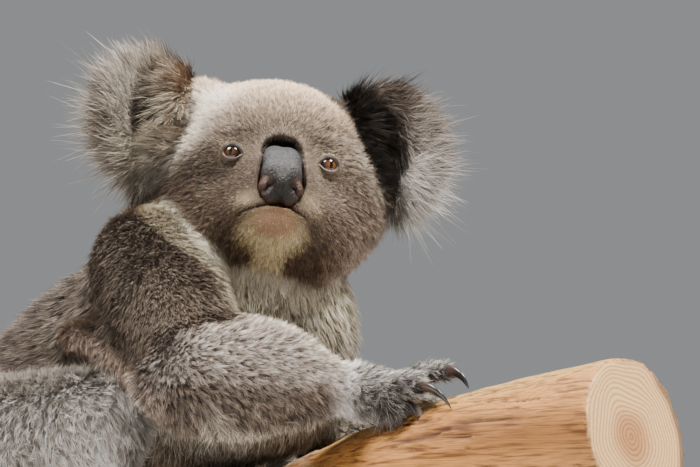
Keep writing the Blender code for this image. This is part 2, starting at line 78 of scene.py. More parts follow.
# for each kind of flesh: how deep the skin lies under the tips, the locks' length, their lift from the skin
# as a slope, their width, how many lie on a square millimetre, and how far they gather into tufts
COAT = {
    "head": (0.0045, 0.01, 0.62, 0.00036, 3.3, 0.42),
    "neck": (0.007, 0.0125, 0.6, 0.00044, 1.2, 0.25),
    "chest": (0.0062, 0.0118, 0.56, 0.00048, 0.95, 0.28),
    "belly": (0.0062, 0.01, 0.64, 0.00054, 0.75, 0.45),
    "rump": (0.0062, 0.01, 0.64, 0.00054, 1.0, 0.45),
    "upper_arm": (0.0042, 0.0072, 0.62, 0.00036, 2.8, 0.12),
    "forearm": (0.005, 0.0058, 0.92, 0.00036, 4.2, 0.75),
    "hand": (0.002, 0.0078, 0.34, 0.00036, 3.0, 0.65),
    "thigh": (0.006, 0.009, 0.72, 0.00046, 1.35, 0.55),
    "shank": (0.0056, 0.009, 0.62, 0.00048, 0.9, 0.45),
    "foot": (0.0018, 0.0055, 0.34, 0.0004, 1.5, 0.4),
    "ear": (0.003, 0.0195, 0.36, 0.00032, 4.6, 0.3),
}
SHORT_LOCK = 0.0108  # a lock up to this length is a single straight blade
# spots along the fold of loose skin behind the right upper arm
FOLD = (
    (-0.106, 0.026, 0.386), (-0.117, 0.001, 0.389), (-0.127, -0.03, 0.379),
    (-0.132, -0.052, 0.371), (-0.148, -0.084, 0.358), (-0.152, -0.1, 0.345),
)
FOLD_DEPTH = np.array((0.0, 0.0, 0.013))  # how far under the fold its crease lies
# the lower edge of the right forearm, where a fringe hangs
FRINGE = (
    (-0.141, -0.134, 0.336), (-0.129, -0.135, 0.33), (-0.104, -0.133, 0.327), (-0.097, -0.147, 0.331),
    (-0.079, -0.155, 0.334), (-0.068, -0.16, 0.338),
)
# and below the right wrist and palm, which rest on the limb
PALM = ((-0.038, -0.165, 0.338), (-0.039, -0.18, 0.34), (-0.045, -0.197, 0.342))
# the upper edge of the white ruff over the right shoulder, down to the chest
RUFF = ((-0.089, -0.038, 0.474), (-0.099, -0.073, 0.452), (-0.089, -0.094, 0.435), (-0.056, -0.086, 0.423))


# ---- the head's frame
def middle(node):
    low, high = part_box(node)
    return (low + high) / 2


def head_matrix():
    """The head's frame, with its origin placed so that the eyes lie where the solids have them."""
    turned = Matrix.Rotation(-HEAD_YAW, 3, "Z") @ Matrix.Rotation(-HEAD_PITCH, 3, "X")
    rolled = turned @ Matrix.Rotation(HEAD_ROLL, 3, "Y")
    forward, _, up = EYE_PLACE
    between = (middle("eye_right") + middle("eye_left")) / 2
    origin = between - rolled @ Vector((0.0, -forward, up))
    return Matrix.Translation(origin) @ rolled.to_4x4()


HEAD = head_matrix()
HEAD_ORIGIN = np.array(HEAD.translation)
HEAD_AXES = np.array([-HEAD.col[1].to_3d(), -HEAD.col[0].to_3d(), HEAD.col[2].to_3d()])  # rows: forward, right, up


def in_head(forward, right, up):
    return HEAD @ Vector((-right, -forward, up))


def to_head(points):
    """Forward, right and up of each point."""
    return (points - HEAD_ORIGIN) @ HEAD_AXES.T


def from_head(places):
    return places @ HEAD_AXES + HEAD_ORIGIN


# ---- mesh tools
def link(name, mesh):
    obj = bpy.data.objects.new(name, mesh)
    bpy.context.scene.collection.objects.link(obj)
    return obj


def applied(obj):
    """Applies the object's modifiers to its mesh."""
    bpy.context.view_layer.update()
    graph = bpy.context.evaluated_depsgraph_get()
    mesh = bpy.data.meshes.new_from_object(obj.evaluated_get(graph))
    obj.modifiers.clear()
    obj.data = mesh
    return obj


def read(items, field, width, kind=np.float32):
    """One field of every item of a mesh, as rows."""
    flat = np.empty(len(items) * width, kind)
    items.foreach_get(field, flat)
    return flat.reshape(-1, width)


def points_of(mesh):
    return read(mesh.vertices, "co", 3).astype(float)


def set_points(mesh, points):
    mesh.vertices.foreach_set("co", points.astype(np.float32).ravel())
    mesh.update()


def normals_of(mesh):
    return read(mesh.vertex_normals, "vector", 3).astype(float)


def edges_of(mesh):
    return read(mesh.edges, "vertices", 2, np.int32)


def triangles_of(mesh):
    mesh.calc_loop_triangles()
    return read(mesh.loop_triangles, "vertices", 3, np.int32)


def written(bm, name):
    """The edited mesh as one of its own."""
    mesh = bpy.data.meshes.new(name)
    bm.to_mesh(mesh)
    bm.free()
    return mesh


def paint_points(mesh, name, colours):
    layer = mesh.color_attributes.new(name=name, type="FLOAT_COLOR", domain="POINT")
    paint = np.ones((len(colours), 4), np.float32)
    paint[:, :3] = np.clip(colours, 0, 1)
    layer.data.foreach_set("color", paint.ravel())


def dressed(obj, made, attribute, colours):
    """Gives a piece its paint and its only material, shaded smooth."""
    paint_points(obj.data, attribute, colours)
    obj.data.polygons.foreach_set("use_smooth", [True] * len(obj.data.polygons))
    obj.data.materials.clear()
    obj.data.materials.append(made)


def neighbour_mean(values, edges):
    """The mean of each vertex's neighbours."""
    count = len(values)
    first, second = edges.T
    degree = np.maximum(np.bincount(first, minlength=count) + np.bincount(second, minlength=count), 1)
    columns = values.reshape(count, -1)
    total = np.empty_like(columns)
    for i in range(columns.shape[1]):
        total[:, i] = np.bincount(first, columns[second, i], count) + np.bincount(second, columns[first, i], count)
    return (total / degree[:, None]).reshape(values.shape)


def smoothed(values, edges, rounds, weight=0.5):
    """Evens values out over the mesh. weight may be a column that differs from vertex to vertex."""
    for _ in range(rounds):
        values = values + weight * (neighbour_mean(values, edges) - values)
    return values


def unit(vectors):
    return vectors / np.maximum(np.linalg.norm(vectors, axis=-1, keepdims=True), 1e-12)


def lengths(vectors):
    return np.linalg.norm(vectors, axis=1)


def ramp(values, low, high):
    """0 below low, 1 above high, and a smooth step between; low may be the larger."""
    t = np.clip((values - low) / (high - low), 0.0, 1.0)
    return t * t * (3 - 2 * t)


def bump(values, centre, width):
    return np.exp(-(((values - centre) / width) ** 2))


def blob(places, centre, radii):
    """1 at the centre of an ellipsoid, falling to nothing at about twice its radii."""
    return np.exp(-(((places - np.array(centre)) / np.array(radii)) ** 2).sum(axis=-1))


def noise(points, scale, seed):
    """A smooth random value between -1 and 1 at each point, with lumps about this large."""
    draw = np.random.default_rng(seed)
    total = np.zeros(len(points))
    for _ in range(9):
        direction = unit(draw.normal(size=3))
        phase, stretch = draw.uniform(0, math.tau), draw.uniform(0.6, 1.6)
        bend = draw.normal(size=3) * 0.7 / scale
        total += np.sin(points @ direction * (math.tau * stretch / scale) + phase + np.sin(points @ bend) * 1.7)
    return total / 5.0


def mixed(base, other, share):
    return base + (other - base) * share[:, None]


def blend(first, second, share):
    return first * (1 - share) + second * share


def largest_island(obj):
    bm = bmesh.new()
    bm.from_mesh(obj.data)
    left, best = set(bm.verts), []
    while left:
        seed = left.pop()
        todo, group = [seed], [seed]
        while todo:
            for edge in todo.pop().link_edges:
                for vert in edge.verts:
                    if vert in left:
                        left.discard(vert)
                        todo.append(vert)
                        group.append(vert)
        if len(group) > len(best):
            best = group
    keep = set(best)
    bmesh.ops.delete(bm, geom=[v for v in bm.verts if v not in keep], context="VERTS")
    bm.to_mesh(obj.data)
    bm.free()
    return obj


def remeshed(obj, voxel):
    step = obj.modifiers.new("Fuse", "REMESH")
    step.mode = "VOXEL"
    step.voxel_size = voxel
    return applied(obj)


def tree_of(mesh):
    return BVHTree.FromPolygons([v.co for v in mesh.vertices], [p.vertices for p in mesh.polygons])


# ---- the skin's shape
def ear_frame(name):
    """The ear's centre and its own axes as rows: outward, forward, upward."""
    side, centre, _ = EARS[name]
    turn = (HEAD.to_3x3() @ Matrix.Rotation(side * EAR_TILT, 3, "Z")).transposed()
    return np.array(in_head(*centre)), np.array([-side * turn[0], -turn[1], turn[2]])


PINNA = (0.0325, 0.0375, 0.0078)  # half width and half height of the ear's own flesh, and its half thickness at the rim
CORE = [*FLESH, "nose", "eye_right", "eye_left"]  # what the skin is drawn over
OWNERS = [*FLESH, *EARS]

# how strongly each kind of flesh is smoothed, so that fingers keep their form
EASE = {"head": 0.4, "hand": 0.1, "foot": 0.12, "ear": 0.25}

# the joints of each limb, from the shoulder or the hip to the tips
CHAINS = (
    (ARM, "right", ((-0.074, -0.03, 0.434), (-0.122, -0.11, 0.362), (-0.034, -0.16, 0.354), (-0.02, -0.225, 0.35))),
    (ARM, "left", ((0.076, -0.006, 0.43), (0.09, -0.04, 0.34), (0.07, -0.094, 0.3), (0.06, -0.16, 0.32))),
    (LEG, "right", ((-0.068, 0.15, 0.288), (-0.134, -0.028, 0.33), (-0.08, 0.062, 0.24), (-0.075, -0.06, 0.29))),
    (LEG, "left", ((0.068, 0.152, 0.286), (0.128, 0.032, 0.284), (0.08, 0.062, 0.24), (0.075, -0.06, 0.29))),
)
BONES = {
    f"{part}_{side}": (np.array(chain[i]), np.array(chain[i + 1]))
    for limb, side, chain in CHAINS
    for i, part in enumerate(limb)
}


def kind_of(name):
    return name.replace("_right", "").replace("_left", "")


def add_pinna(bm, name):
    """The ear's flesh: a cupped disc, thick at its rim."""
    centre, axes = ear_frame(name)
    tallness = EARS[name][2] ** 0.5
    wide, high, thick = PINNA
    around, across = 34, 9
    for i in range(across + 1):
        share = i / across
        ring = max(1, round(around * share))
        for j in range(ring):
            angle = math.tau * (j + 0.5 * i) / ring
            cupped = 0.01 * share**2 - 0.012
            place = np.array((math.sin(angle) * wide * share, cupped, math.cos(angle) * high * share * tallness))
            matrix = Matrix.Translation(centre + (place - np.array((0.003, 0.0, 0.0))) @ axes)
            bmesh.ops.create_icosphere(bm, subdivisions=1, radius=thick * (0.55 + 0.25 * share**3), matrix=matrix)


def fused_flesh():
    """All nodes of flesh in one closed surface, with the ears' own flesh."""
    bm = bmesh.new()
    for name in CORE:
        copy = nodes[name].data.copy()
        set_points(copy, points_of(copy) + normals_of(copy) * SWELL)
        bm.from_mesh(copy)
        bpy.data.meshes.remove(copy)
    for name in EARS:
        add_pinna(bm, name)
    return largest_island(remeshed(link("skin", written(bm, "skin")), SKIN_VOXEL))


def shares(points, edges, rounds=6):
    """How much each owner in OWNERS has of each vertex."""
    corners, faces, owner = [], [], []
    for i, name in enumerate(OWNERS):
        mesh = nodes[name].data
        start = len(corners)
        corners += [v.co.copy() for v in mesh.vertices]
        faces += [[start + v for v in p.vertices] for p in mesh.polygons]
        owner += [i] * len(mesh.polygons)
    tree = BVHTree.FromPolygons(corners, faces)
    nearest = [owner[tree.find_nearest(p)[2]] for p in points.tolist()]
    table = np.zeros((len(points), len(OWNERS)))
    table[np.arange(len(points)), nearest] = 1.0
    return smoothed(table, edges, rounds)


def share_of(table, *names):
    """How much these owners have together of each vertex."""
    return sum(table[:, OWNERS.index(name)] for name in names)


def by_kind(values, default):
    return np.array([values.get(kind_of(name), default) for name in OWNERS])


def coat_values(place):
    return np.array([COAT[kind_of(name)][place] for name in OWNERS])


NOSE_PLACE = np.array((0.08, 0.0, -0.01))
# distances from the nose, and how long the coat is there
FACE_LENGTHS = (0.02, 0.04, 0.06, 0.085, 0.12, 0.16), (0.0016, 0.0026, 0.004, 0.0058, 0.0082, 0.01)


def head_length(q):
    """The length of the coat over the head: shortest round the nose, longest on the cheeks and behind."""
    away = lengths(q - NOSE_PLACE)
    crown = ramp(q[:, 2], 0.035, 0.06) * 0.002
    return np.interp(away, *FACE_LENGTHS) - crown * ramp(away, 0.05, 0.09)


def face_subdivided(skin):
    """Finer faces over the face, and finer again round the eyes, the nose and the mouth."""
    eyes = [eye_centre(1), eye_centre(-1)]
    for reach, spread, near_eyes in ((0.018, 1.0, 1.0), (0.034, 0.8, 1.0), (0.034, 0.8, 0.013)):
        bm = bmesh.new()
        bm.from_mesh(skin.data)
        bm.verts.ensure_lookup_table()
        q = to_head(np.array([v.co for v in bm.verts]))
        inside = (q[:, 0] > reach) & (np.abs(q[:, 1]) < 0.06 * spread)
        inside &= (q[:, 2] > -0.06 * spread) & (q[:, 2] < 0.04 * spread)
        inside &= np.minimum(*(lengths(q - eye) for eye in eyes)) < near_eyes
        picked = [f for f in bm.faces if all(inside[v.index] for v in f.verts)]
        edges = list({e for f in picked for e in f.edges})
        bmesh.ops.subdivide_edges(bm, edges=edges, cuts=1, use_grid_fill=True)
        bmesh.ops.triangulate(bm, faces=[f for f in bm.faces if len(f.verts) > 4])
        bm.to_mesh(skin.data)
        bm.free()


EYE_OUT = unit(np.array((0.97, 0.14, -0.05)))  # the way an eye looks out: forward, to its side, up
OPENING = (0.0056, 0.0046)  # half width and half height between the lids
MOUTH_MIDDLE = 0.002  # the mouth's middle lies this far to the head's right
# how far the face rises or sinks on both sides, where, and over what radii
HOLLOWS = (
    (-0.0022, (0.046, 0.03, 0.012), (0.014, 0.013, 0.014)),  # the eye's socket
    (-0.0016, (0.058, 0.019, 0.004), (0.012, 0.0045, 0.014)),  # between the eye and the nose
    (0.0016, (0.05, 0.034, 0.024), (0.014, 0.016, 0.005)),  # the brow
    (0.002, (0.062, 0.017, -0.027), (0.014, 0.01, 0.009)),  # the pad beside the nose
    (-0.0016, (0.045, 0.034, -0.024), (0.016, 0.008, 0.02)),  # the cheek
)


def eye_centre(side):
    solid = to_head(np.array([middle(f"eye_{SIDES[side]}")]))[0]
    return solid - np.array((0.0004, side * 0.0016, 0.001))


def eye_axes(side):
    """The eye's own axes in the head's frame: out, across and up."""
    out = EYE_OUT * (1, side, 1)
    across = unit(np.cross((0.0, 0.0, 1.0), out))
    return out, across, np.cross(out, across)


def lid_place(side, q):
    """From an eye's middle: the offset, how far ahead it is, and how far out in shares of the lids' opening."""
    out, across, upward = eye_axes(side)
    offset = q - eye_centre(side)
    return offset, offset @ out, np.hypot(offset @ across / OPENING[0], offset @ upward / OPENING[1])


def mouth_line(right):
    """How high the mouth runs, from the middle out to its corners."""
    return -0.0322 - 0.0042 * ((right - MOUTH_MIDDLE) / 0.0215) ** 2


def mouth_share(q):
    """1 along the line of the mouth."""
    within = 1 - ramp(np.abs(q[:, 1] - MOUTH_MIDDLE), 0.02, 0.0245)
    return bump(q[:, 2], mouth_line(q[:, 1]), 0.0011) * within * ramp(q[:, 0], 0.04, 0.052)


def bare_chin(q):
    """1 over the bare patch under the mouth."""
    patch = ramp(blob(q, (0.07, 0.0019, -0.0422), (0.024, 0.018, 0.0106)), 0.22, 0.7)
    return patch * ramp(mouth_line(q[:, 1]) - q[:, 2], 0.0004, 0.0014)


def crescent(q):
    """1 in the fold that caps the nose pad, which is painted near black as shade."""
    height = q[:, 2] - 0.002
    reach = np.hypot(q[:, 1], height)
    upright = height / np.maximum(reach, 1e-6)
    outer = 0.0132 + 0.0042 * np.clip(upright, 0, 1)
    fold = ramp(reach, 0.0105, 0.0122) * (1 - ramp(reach, outer, outer + 0.001))
    return fold * ramp(upright, -0.1, 0.25) * ramp(q[:, 0], 0.03, 0.04)


def sculpted(points):
    """Eye sockets and lids, the folds round the nose, the mouth, the chin and the cheeks' creases."""
    q, plain = to_head(points), to_head(points)
    right, up = plain[:, 1], plain[:, 2]
    near = ramp(plain[:, 0], 0.01, 0.03)
    for side in (1, -1):
        for rise, (forward, beside, height), radii in HOLLOWS:
            q[:, 0] += near * rise * blob(q, (forward, side * beside, height), radii)
    line = mouth_line(right)
    within = 1 - ramp(np.abs(right - MOUTH_MIDDLE), 0.019, 0.025)
    q[:, 0] -= near * 0.0032 * mouth_share(plain)
    q[:, 0] += near * within * 0.0009 * (bump(up, line + 0.0028, 0.0017) + bump(up, line - 0.003, 0.002))
    q[:, 0] += near * 0.0018 * blob(q, (0.066, 0.002, -0.0435), (0.02, 0.014, 0.008))
    for side in (1, -1):
        q[:, 0] -= near * 0.0022 * blob(plain, (0.06, side * 0.0225 + 0.0015, -0.041), (0.016, 0.003, 0.005))
    q[:, 0] -= near * 0.0042 * crescent(plain)
    q[:, 0] -= 0.0085 * smoothed_nose(points)
    for side in (1, -1):
        offset, ahead, flat = lid_place(side, q)
        reach = lengths(offset)
        opened = (1 - ramp(flat, 0.78, 0.96)) * (ahead > 0)
        wanted = EYE_RADIUS * (1.09 - 0.42 * opened)
        moved = (reach < wanted) | ((opened > 0.3) & (reach > wanted))
        moved &= (ahead > -0.002) & (reach < 0.013)
        q = eye_centre(side) + offset * np.where(moved, wanted / np.maximum(reach, 1e-5), 1.0)[:, None]
    return from_head(q)


def smoothed_nose(points):
    """1 under the nose pad, falling to nothing a little way outside it."""
    tree = tree_of(nodes["nose"].data)
    low, high = (np.array(c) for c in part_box("nose"))
    result = np.zeros(len(points))
    close = np.where(((points > low - 0.006) & (points < high + 0.006)).all(axis=1))[0]
    for i in close:
        place, normal, _, distance = tree.find_nearest(Vector(points[i]))
        inside = (Vector(points[i]) - place).dot(normal) < 0
        result[i] = 1.0 if inside else float(1 - ramp(np.array(distance), 0.0002, 0.0024))
    return result


def near_path(points, path):
    """How far each point is from a line through these places."""
    nearest = np.full(len(points), np.inf)
    for start, end in zip(np.array(path[:-1]), np.array(path[1:])):
        along = np.clip((points - start) @ (end - start) / ((end - start) ** 2).sum(), 0, 1)
        nearest = np.minimum(nearest, lengths(points - start - along[:, None] * (end - start)))
    return nearest


def folded(points, normals):
    """The roll of loose skin behind the right upper arm, wrinkled along its length, with a crease under it."""
    gap = near_path(points, FOLD)
    under = near_path(points + FOLD_DEPTH, FOLD)
    wrinkles = 1 + 0.35 * np.sin(gap / 0.0042 * math.tau) * ramp(gap, 0.001, 0.003)
    rise = 0.0062 * bump(gap, 0.0, 0.0078) * wrinkles - 0.006 * bump(under, 0.0, 0.005) * ramp(gap, 0.006, 0.011)
    return points + normals * rise[:, None]


def shaped_skin():
    """The skin under the coat: eased, sunk by the coat's depth, finer on the face and sculpted there."""
    skin = fused_flesh()
    mesh = skin.data
    points, edges = points_of(mesh), edges_of(mesh)
    table = shares(points, edges)
    points = smoothed(points, edges, EASE_ROUNDS, (table @ by_kind(EASE, 0.5))[:, None])
    trunk = table @ by_kind(dict.fromkeys(("neck", "chest", "belly", "rump"), 1.0), 0.0)
    set_points(mesh, points)
    behind = trunk * ramp(normals_of(mesh)[:, 1], -0.2, 0.3)
    points = smoothed(points, edges, BACK_ROUNDS, 0.5 * smoothed(behind, edges, 6)[:, None])
    end = 1 - ramp(lengths(points - np.array(FOLD[0]) - np.array((0.0, 0.008, 0.0))), 0.014, 0.034)
    points = smoothed(points, edges, FOLD_ROUNDS, 0.5 * end[:, None])
    depth = blend(table @ coat_values(0), head_length(to_head(points)) * 0.58, share_of(table, "head"))
    depth = smoothed(depth, edges, 5)
    for _ in range(4):
        set_points(mesh, points)
        points = points - normals_of(mesh) * (depth / 4)[:, None]
        points = smoothed(points, edges, 1, (table @ by_kind(EASE, 0.35))[:, None] * 0.6)
    set_points(mesh, points)
    set_points(mesh, folded(points, normals_of(mesh)))
    face_subdivided(skin)
    points, edges = points_of(mesh), edges_of(mesh)
    face = ramp(to_head(points)[:, 0], 0.015, 0.035)[:, None]
    set_points(mesh, sculpted(smoothed(points, edges, 6, 0.5 * face)))
    return skin


# ---- markings
def tint(red, green, blue):
    """A colour as the eye reads it, 0 to 255, in the linear values that shaders take."""
    share = np.array((red, green, blue)) / 255
    return np.where(share > 0.04045, ((share + 0.055) / 1.055) ** 2.4, share / 12.92)


# tones of the coat, each at its tips and at its roots
GREY = tint(138, 125, 113), tint(50, 42, 36)
PALE = tint(240, 234, 216), tint(170, 154, 122)
CREAM = tint(218, 200, 156), tint(142, 120, 84)
DARK = tint(88, 70, 56), tint(36, 28, 22)
# SHADED is painted shade: the coat's tones as they look in shadow
SHADED = tint(120, 102, 84), tint(44, 35, 28)
BARE_CHIN = tint(136, 108, 84)


def tone(colour):
    """The linear values of a colour given as the eye reads it, or those values as they are."""
    return colour if isinstance(colour, np.ndarray) else tint(*colour)


def layered(count, base, *layers):
    """One colour at every point, with each (colour, share) laid over it in turn."""
    colour = np.zeros((count, 1)) + tone(base)
    for other, share in layers:
        colour = mixed(colour, tone(other), share)
    return colour


def distance_to(name, points):
    tree = tree_of(nodes[name].data)
    return np.array([tree.find_nearest(p)[3] for p in points.tolist()])


def markings(points, normals, table):
    """The coat's colour at its roots and at its tips over each vertex of the skin."""
    q = to_head(points)
    forward, right, up = q.T
    y, z = points[:, 1], points[:, 2]
    nx, ny, nz = normals.T
    tip, root = (np.tile(colour, (len(points), 1)) for colour in GREY)

    def own(*names):
        return share_of(table, *names)

    def paint(share, tips, roots):
        nonlocal root, tip
        share = np.clip(share, 0, 1)
        tip, root = mixed(tip, tone(tips), share), mixed(root, tone(roots), share)

    def spot(owner, centre, radii, gain, strength, *tones):
        """A soft spot about this place in the head's frame, flat in its middle where the gain is over 1."""
        paint(owner * np.minimum(blob(q, centre, radii) * gain, 1.0) * strength, *tones)

    # the trunk
    front = 1 - ramp(ny, -0.45, 0.1)
    paint(own("chest", "neck") * front, *PALE)
    paint(own("chest", "belly", "neck") * (1 - front) * ramp(z, 0.32, 0.39) * 0.85, (106, 93, 83), (42, 35, 30))
    # painted shade on the front of the chest and belly, under the forearms
    below = own("chest", "belly") * front * (1 - ramp(z, 0.315, 0.345)) * 0.85
    paint(below, *SHADED)
    paint(own("belly", "rump") * (1 - ramp(nz, -0.55, 0.0)) * 0.8, (205, 188, 160), (120, 100, 80))
    hind = ramp(ny, 0.2, 0.7) * (1 - ramp(z, 0.26, 0.33))
    paint(own("rump") * hind * ramp(noise(points, 0.05, 3), -0.2, 0.6) * 0.75, (222, 212, 192), (120, 104, 88))
    # the limbs
    patches = ramp(noise(points, 0.0055, 41), 0.1, 0.8)
    fur_and_shade_patches = ramp(noise(points, 0.012, 5), -1.2, 0.1)
    for side, sign in (("right", -1.0), ("left", 1.0)):
        upper, fore, hand, thigh, _, foot = (own(f"{part}_{side}") for part in ARM + LEG)
        inner = 1 - ramp(nx * sign, -0.5, 0.1)
        paint(upper, (132, 116, 102), (54, 46, 39))
        # painted light: each upper arm paler where it faces up and back
        paint(upper * ramp(ny, -0.6, 0.1) * ramp(nz, -0.2, 0.3) * 0.9, (150, 134, 120), (66, 57, 49))
        paint(upper * inner * 0.9, *PALE)
        paint(fore, (234, 211, 197), (28, 22, 19))
        paint(fore * inner * 0.7, (222, 212, 190), PALE[1])
        # painted shade: each forearm darker on its underside
        paint(fore * (1 - ramp(nz, -0.4, 0.15)) * 0.9, (96, 83, 70), (32, 26, 22))
        # painted sunlight: the thighs' pale fur whiter still, less so towards their rear
        paint(thigh * (0.95 - 0.55 * ramp(ny, 0.0, 0.6)), (250, 244, 236), (128, 118, 109))
        paint(thigh * patches * 0.6, (122, 113, 106), (54, 48, 43))
        start, end = BONES[f"forearm_{side}"]
        along = (points - start) @ (end - start) / ((end - start) ** 2).sum()
        paint(fore * ramp(along, 0.72, 0.95) * 0.9, (255, 251, 246), (164, 154, 146))
        # the paws pale, and below their tops dark in patches: partly darker fur, partly painted shade
        paint(hand + foot, (228, 224, 218), (62, 56, 52))
        shady = (hand + 0.5 * foot) * (1 - ramp(nz, 0.25, 0.85))
        paint(shady * fur_and_shade_patches * 0.9, (72, 65, 59), (24, 20, 18))
    hanging = 1 - ramp(near_path(points, FRINGE), 0.003, 0.008)
    paint(own("forearm_right") * hanging * 0.8, (236, 226, 204), (96, 82, 68))
    # painted shade on the lower chest
    shaded_low_chest = own("chest") * (1 - ramp(ny, 0.3, 0.6)) * (1 - ramp(z, 0.385, 0.42))
    paint(shaded_low_chest * 0.85, (142, 134, 124), (90, 81, 70))
    # the painted shade under the forearms once more, over the lower chest's paint
    paint(below, *SHADED)
    # the head: crown and temple, partly paler fur and partly painted sunlight, the side in painted shade, and the
    # cheeks
    head = own("head")
    paint(head, (142, 127, 113), (52, 43, 36))
    # painted sunlight: the crown's tips cream, over fur a little paler than the head's
    crown = ramp(up, 0.026, 0.06) * ramp(forward, -0.02, 0.018)
    paint(head * crown * 0.9, (246, 210, 176), (132, 107, 86))
    # painted sunlight on the white fur of the right temple
    spot(head, (0.03, 0.045, 0.052), (0.026, 0.016, 0.016), 1.3, 0.9, (252, 238, 220), (180, 160, 138))
    shade_side = ramp(right, 0.008, 0.032) * (1 - ramp(up, 0.0, 0.026)) * ramp(forward, -0.004, 0.016)
    paint(head * shade_side * 0.95, (64, 52, 42), (26, 20, 16))
    low_cheek = (1 - ramp(up, -0.034, 0.004)) * ramp(forward, -0.03, 0.02)
    paint(head * low_cheek * 0.6, (118, 99, 82), (47, 37, 29))
    for side in (1, -1):
        # the pale band before the ear, then round the eye, the jowl, the painted shade in the mouth's crease and the
        # snout's side
        beside = side * right
        band = bump(beside - 0.75 * (0.075 - up), 0.02, 0.011) * ramp(beside, 0.04, 0.052) * ramp(up, -0.01, 0.01)
        band = band * ramp(forward, -0.02, 0.0) * (0.95 if side > 0 else 0.3)
        paint(head * band, (246, 236, 220), (168, 150, 130))
        spot(head, (0.05, side * 0.03, 0.007), (0.016, 0.0115, 0.0105), 1, 0.55, (150, 138, 114), (70, 60, 46))
        spot(head, (0.034, side * 0.0225, -0.0545), (0.036, 0.017, 0.0145), 1.5, 0.95, (76, 58, 42), DARK[1])
        crease = (0.06, side * 0.0225 + 0.0015, -0.042)
        # painted shade in the crease at each side of the chin
        spot(head, crease, (0.018, 0.0042, 0.008), 1, 0.85, DARK[0] * 0.6, DARK[1] * 0.6)
        spot(head, (0.06, side * 0.017, 0.0), (0.014, 0.003, 0.018), 1, 0.6, (112, 96, 84), DARK[1])
    muzzle = blob(q, (0.068, 0.0195, -0.0285), (0.016, 0.0075, 0.0048))
    muzzle += blob(q, (0.068, -0.019, -0.0265), (0.016, 0.007, 0.006))
    paint(head * np.minimum(muzzle * 1.2, 1.0) * 0.85, (224, 206, 176), (150, 128, 98))
    chin = blob(q, (0.064, 0.001, -0.045), (0.028, 0.0195, 0.01))
    paint(head * np.clip(chin * 2.4 - 0.35, 0, 1) * (up < mouth_line(right)), *CREAM)
    paint(head * mouth_share(q), (84, 56, 42), DARK[1] * 0.7)
    # painted shade: the fold over the nose pad near black
    paint(head * crescent(q), DARK[1] * 0.3, DARK[1] * 0.25)
    mottle = ramp(noise(points, 0.0075, 31), -0.6, 0.9) * head * (1 - crown)
    paint(mottle * 0.3, (116, 98, 84), (50, 41, 34))
    strip = (1 - ramp(np.abs(right), 0.008, 0.012)) * (1 - ramp(up, -0.056, -0.05))
    throat = np.maximum(strip, (1 - ramp(up, -0.08, -0.066)) * (1 - ramp(forward, 0.02, 0.05)))
    paint(head * throat * 0.9, *CREAM)
    # the ruff beside the head, and the fold behind the upper arm, with painted shade in the crease under it
    beside_head = own("neck", "chest", "upper_arm_right", "upper_arm_left") * (1 - ramp(ny, -0.05, 0.4))
    close = 1 - ramp(distance_to("head", points), 0.008, 0.016)
    paint(beside_head * close * ramp(forward, -0.012, 0.006), *PALE)
    paint(beside_head * (1 - ramp(near_path(points, RUFF), 0.0075, 0.0125)), (232, 223, 202), (146, 131, 106))
    fades = bump(y, -0.04, 0.062) * (0.55 + 0.45 * ramp(noise(points, 0.006, 33), -0.4, 0.6))
    under = 1 - ramp(near_path(points + FOLD_DEPTH, FOLD), 0.004, 0.01)
    behind = own("upper_arm_right", "chest", "belly", "neck", "forearm_right")
    # painted shade in the crease under the fold
    paint(behind * under * fades * 0.8, (78, 62, 50), (38, 30, 24))
    paint(behind * (1 - ramp(near_path(points, FOLD), 0.006, 0.0115)) * fades, (244, 216, 196), (150, 124, 106))
    # the ears, and the side of the head where their lining grows
    bands = ramp(noise(points * np.array((1.0, 1.0, 1.6)), 0.011, 51), 0.0, 0.9)
    for name in EARS:
        centre, axes = ear_frame(name)
        outward, _, upward = ((points - centre) @ axes.T).T
        facing = ramp(normals @ axes[1], -0.2, 0.3)
        ear = own(name)
        paint(ear, (172, 158, 142), (98, 86, 74))
        if name == "ear_left":
            paint(ear, (168, 156, 145), (54, 47, 41))
            paint(ear * ramp(0.5 * outward - upward, 0.004, 0.034), (236, 231, 224), (126, 117, 108))
            # the left ear's base dark: partly darker fur, partly painted shade in its hollow
            paint(ear * (1 - ramp(outward - 0.9 * upward, -0.03, 0.006)) * 0.95, (80, 67, 56), (32, 26, 21))
            # the head beside the left ear near black: partly dark fur, partly painted shade
            inner = ramp(0.25 * (up - 0.03) - right, 0.03, 0.04) * ramp(up, -0.004, 0.016)
            paint(head * (inner * (1 - ramp(forward, 0.026, 0.04))), (60, 50, 42), (19, 15, 12))
        else:
            outer = ramp(outward - 0.35 * upward, -0.03, 0.022)
            paint(ear * facing * ramp(outer, 0.15, 0.6) * 0.9, (226, 218, 206), (96, 85, 74))
            paint(ear * (1 - facing) * 0.5, (206, 196, 182), (84, 72, 62))
            paint(ear * ((1 - ramp(upward, -0.022, -0.004)) * facing) * 0.6, (182, 172, 152), (88, 79, 65))
            inner = ramp(right, 0.06, 0.068) * (1 - ramp(forward, 0.014, 0.024)) * ramp(up, -0.01, 0.01)
            paint(head * inner * 0.8, (232, 224, 208), (112, 101, 86))
            both = head + ear
            # painted shade in the right ear's hollow
            spot(both, (0.001, 0.078, 0.05), (0.03, 0.012, 0.0125), 1.4, 0.95, (92, 82, 62), (32, 27, 20))
            spot(both, (0.013, 0.065, 0.049), (0.012, 0.0055, 0.0085), 1, 0.9, *PALE)
        paint(ear * bands * 0.55, (104, 94, 85), (40, 34, 30))
    return root, tip


# ---- the lie of the coat
DOWNWARD = {"upper_arm": 0.45, "forearm": 0.55, "thigh": 1.1, "shank": 0.7, "hand": 0.1, "foot": 0.1}


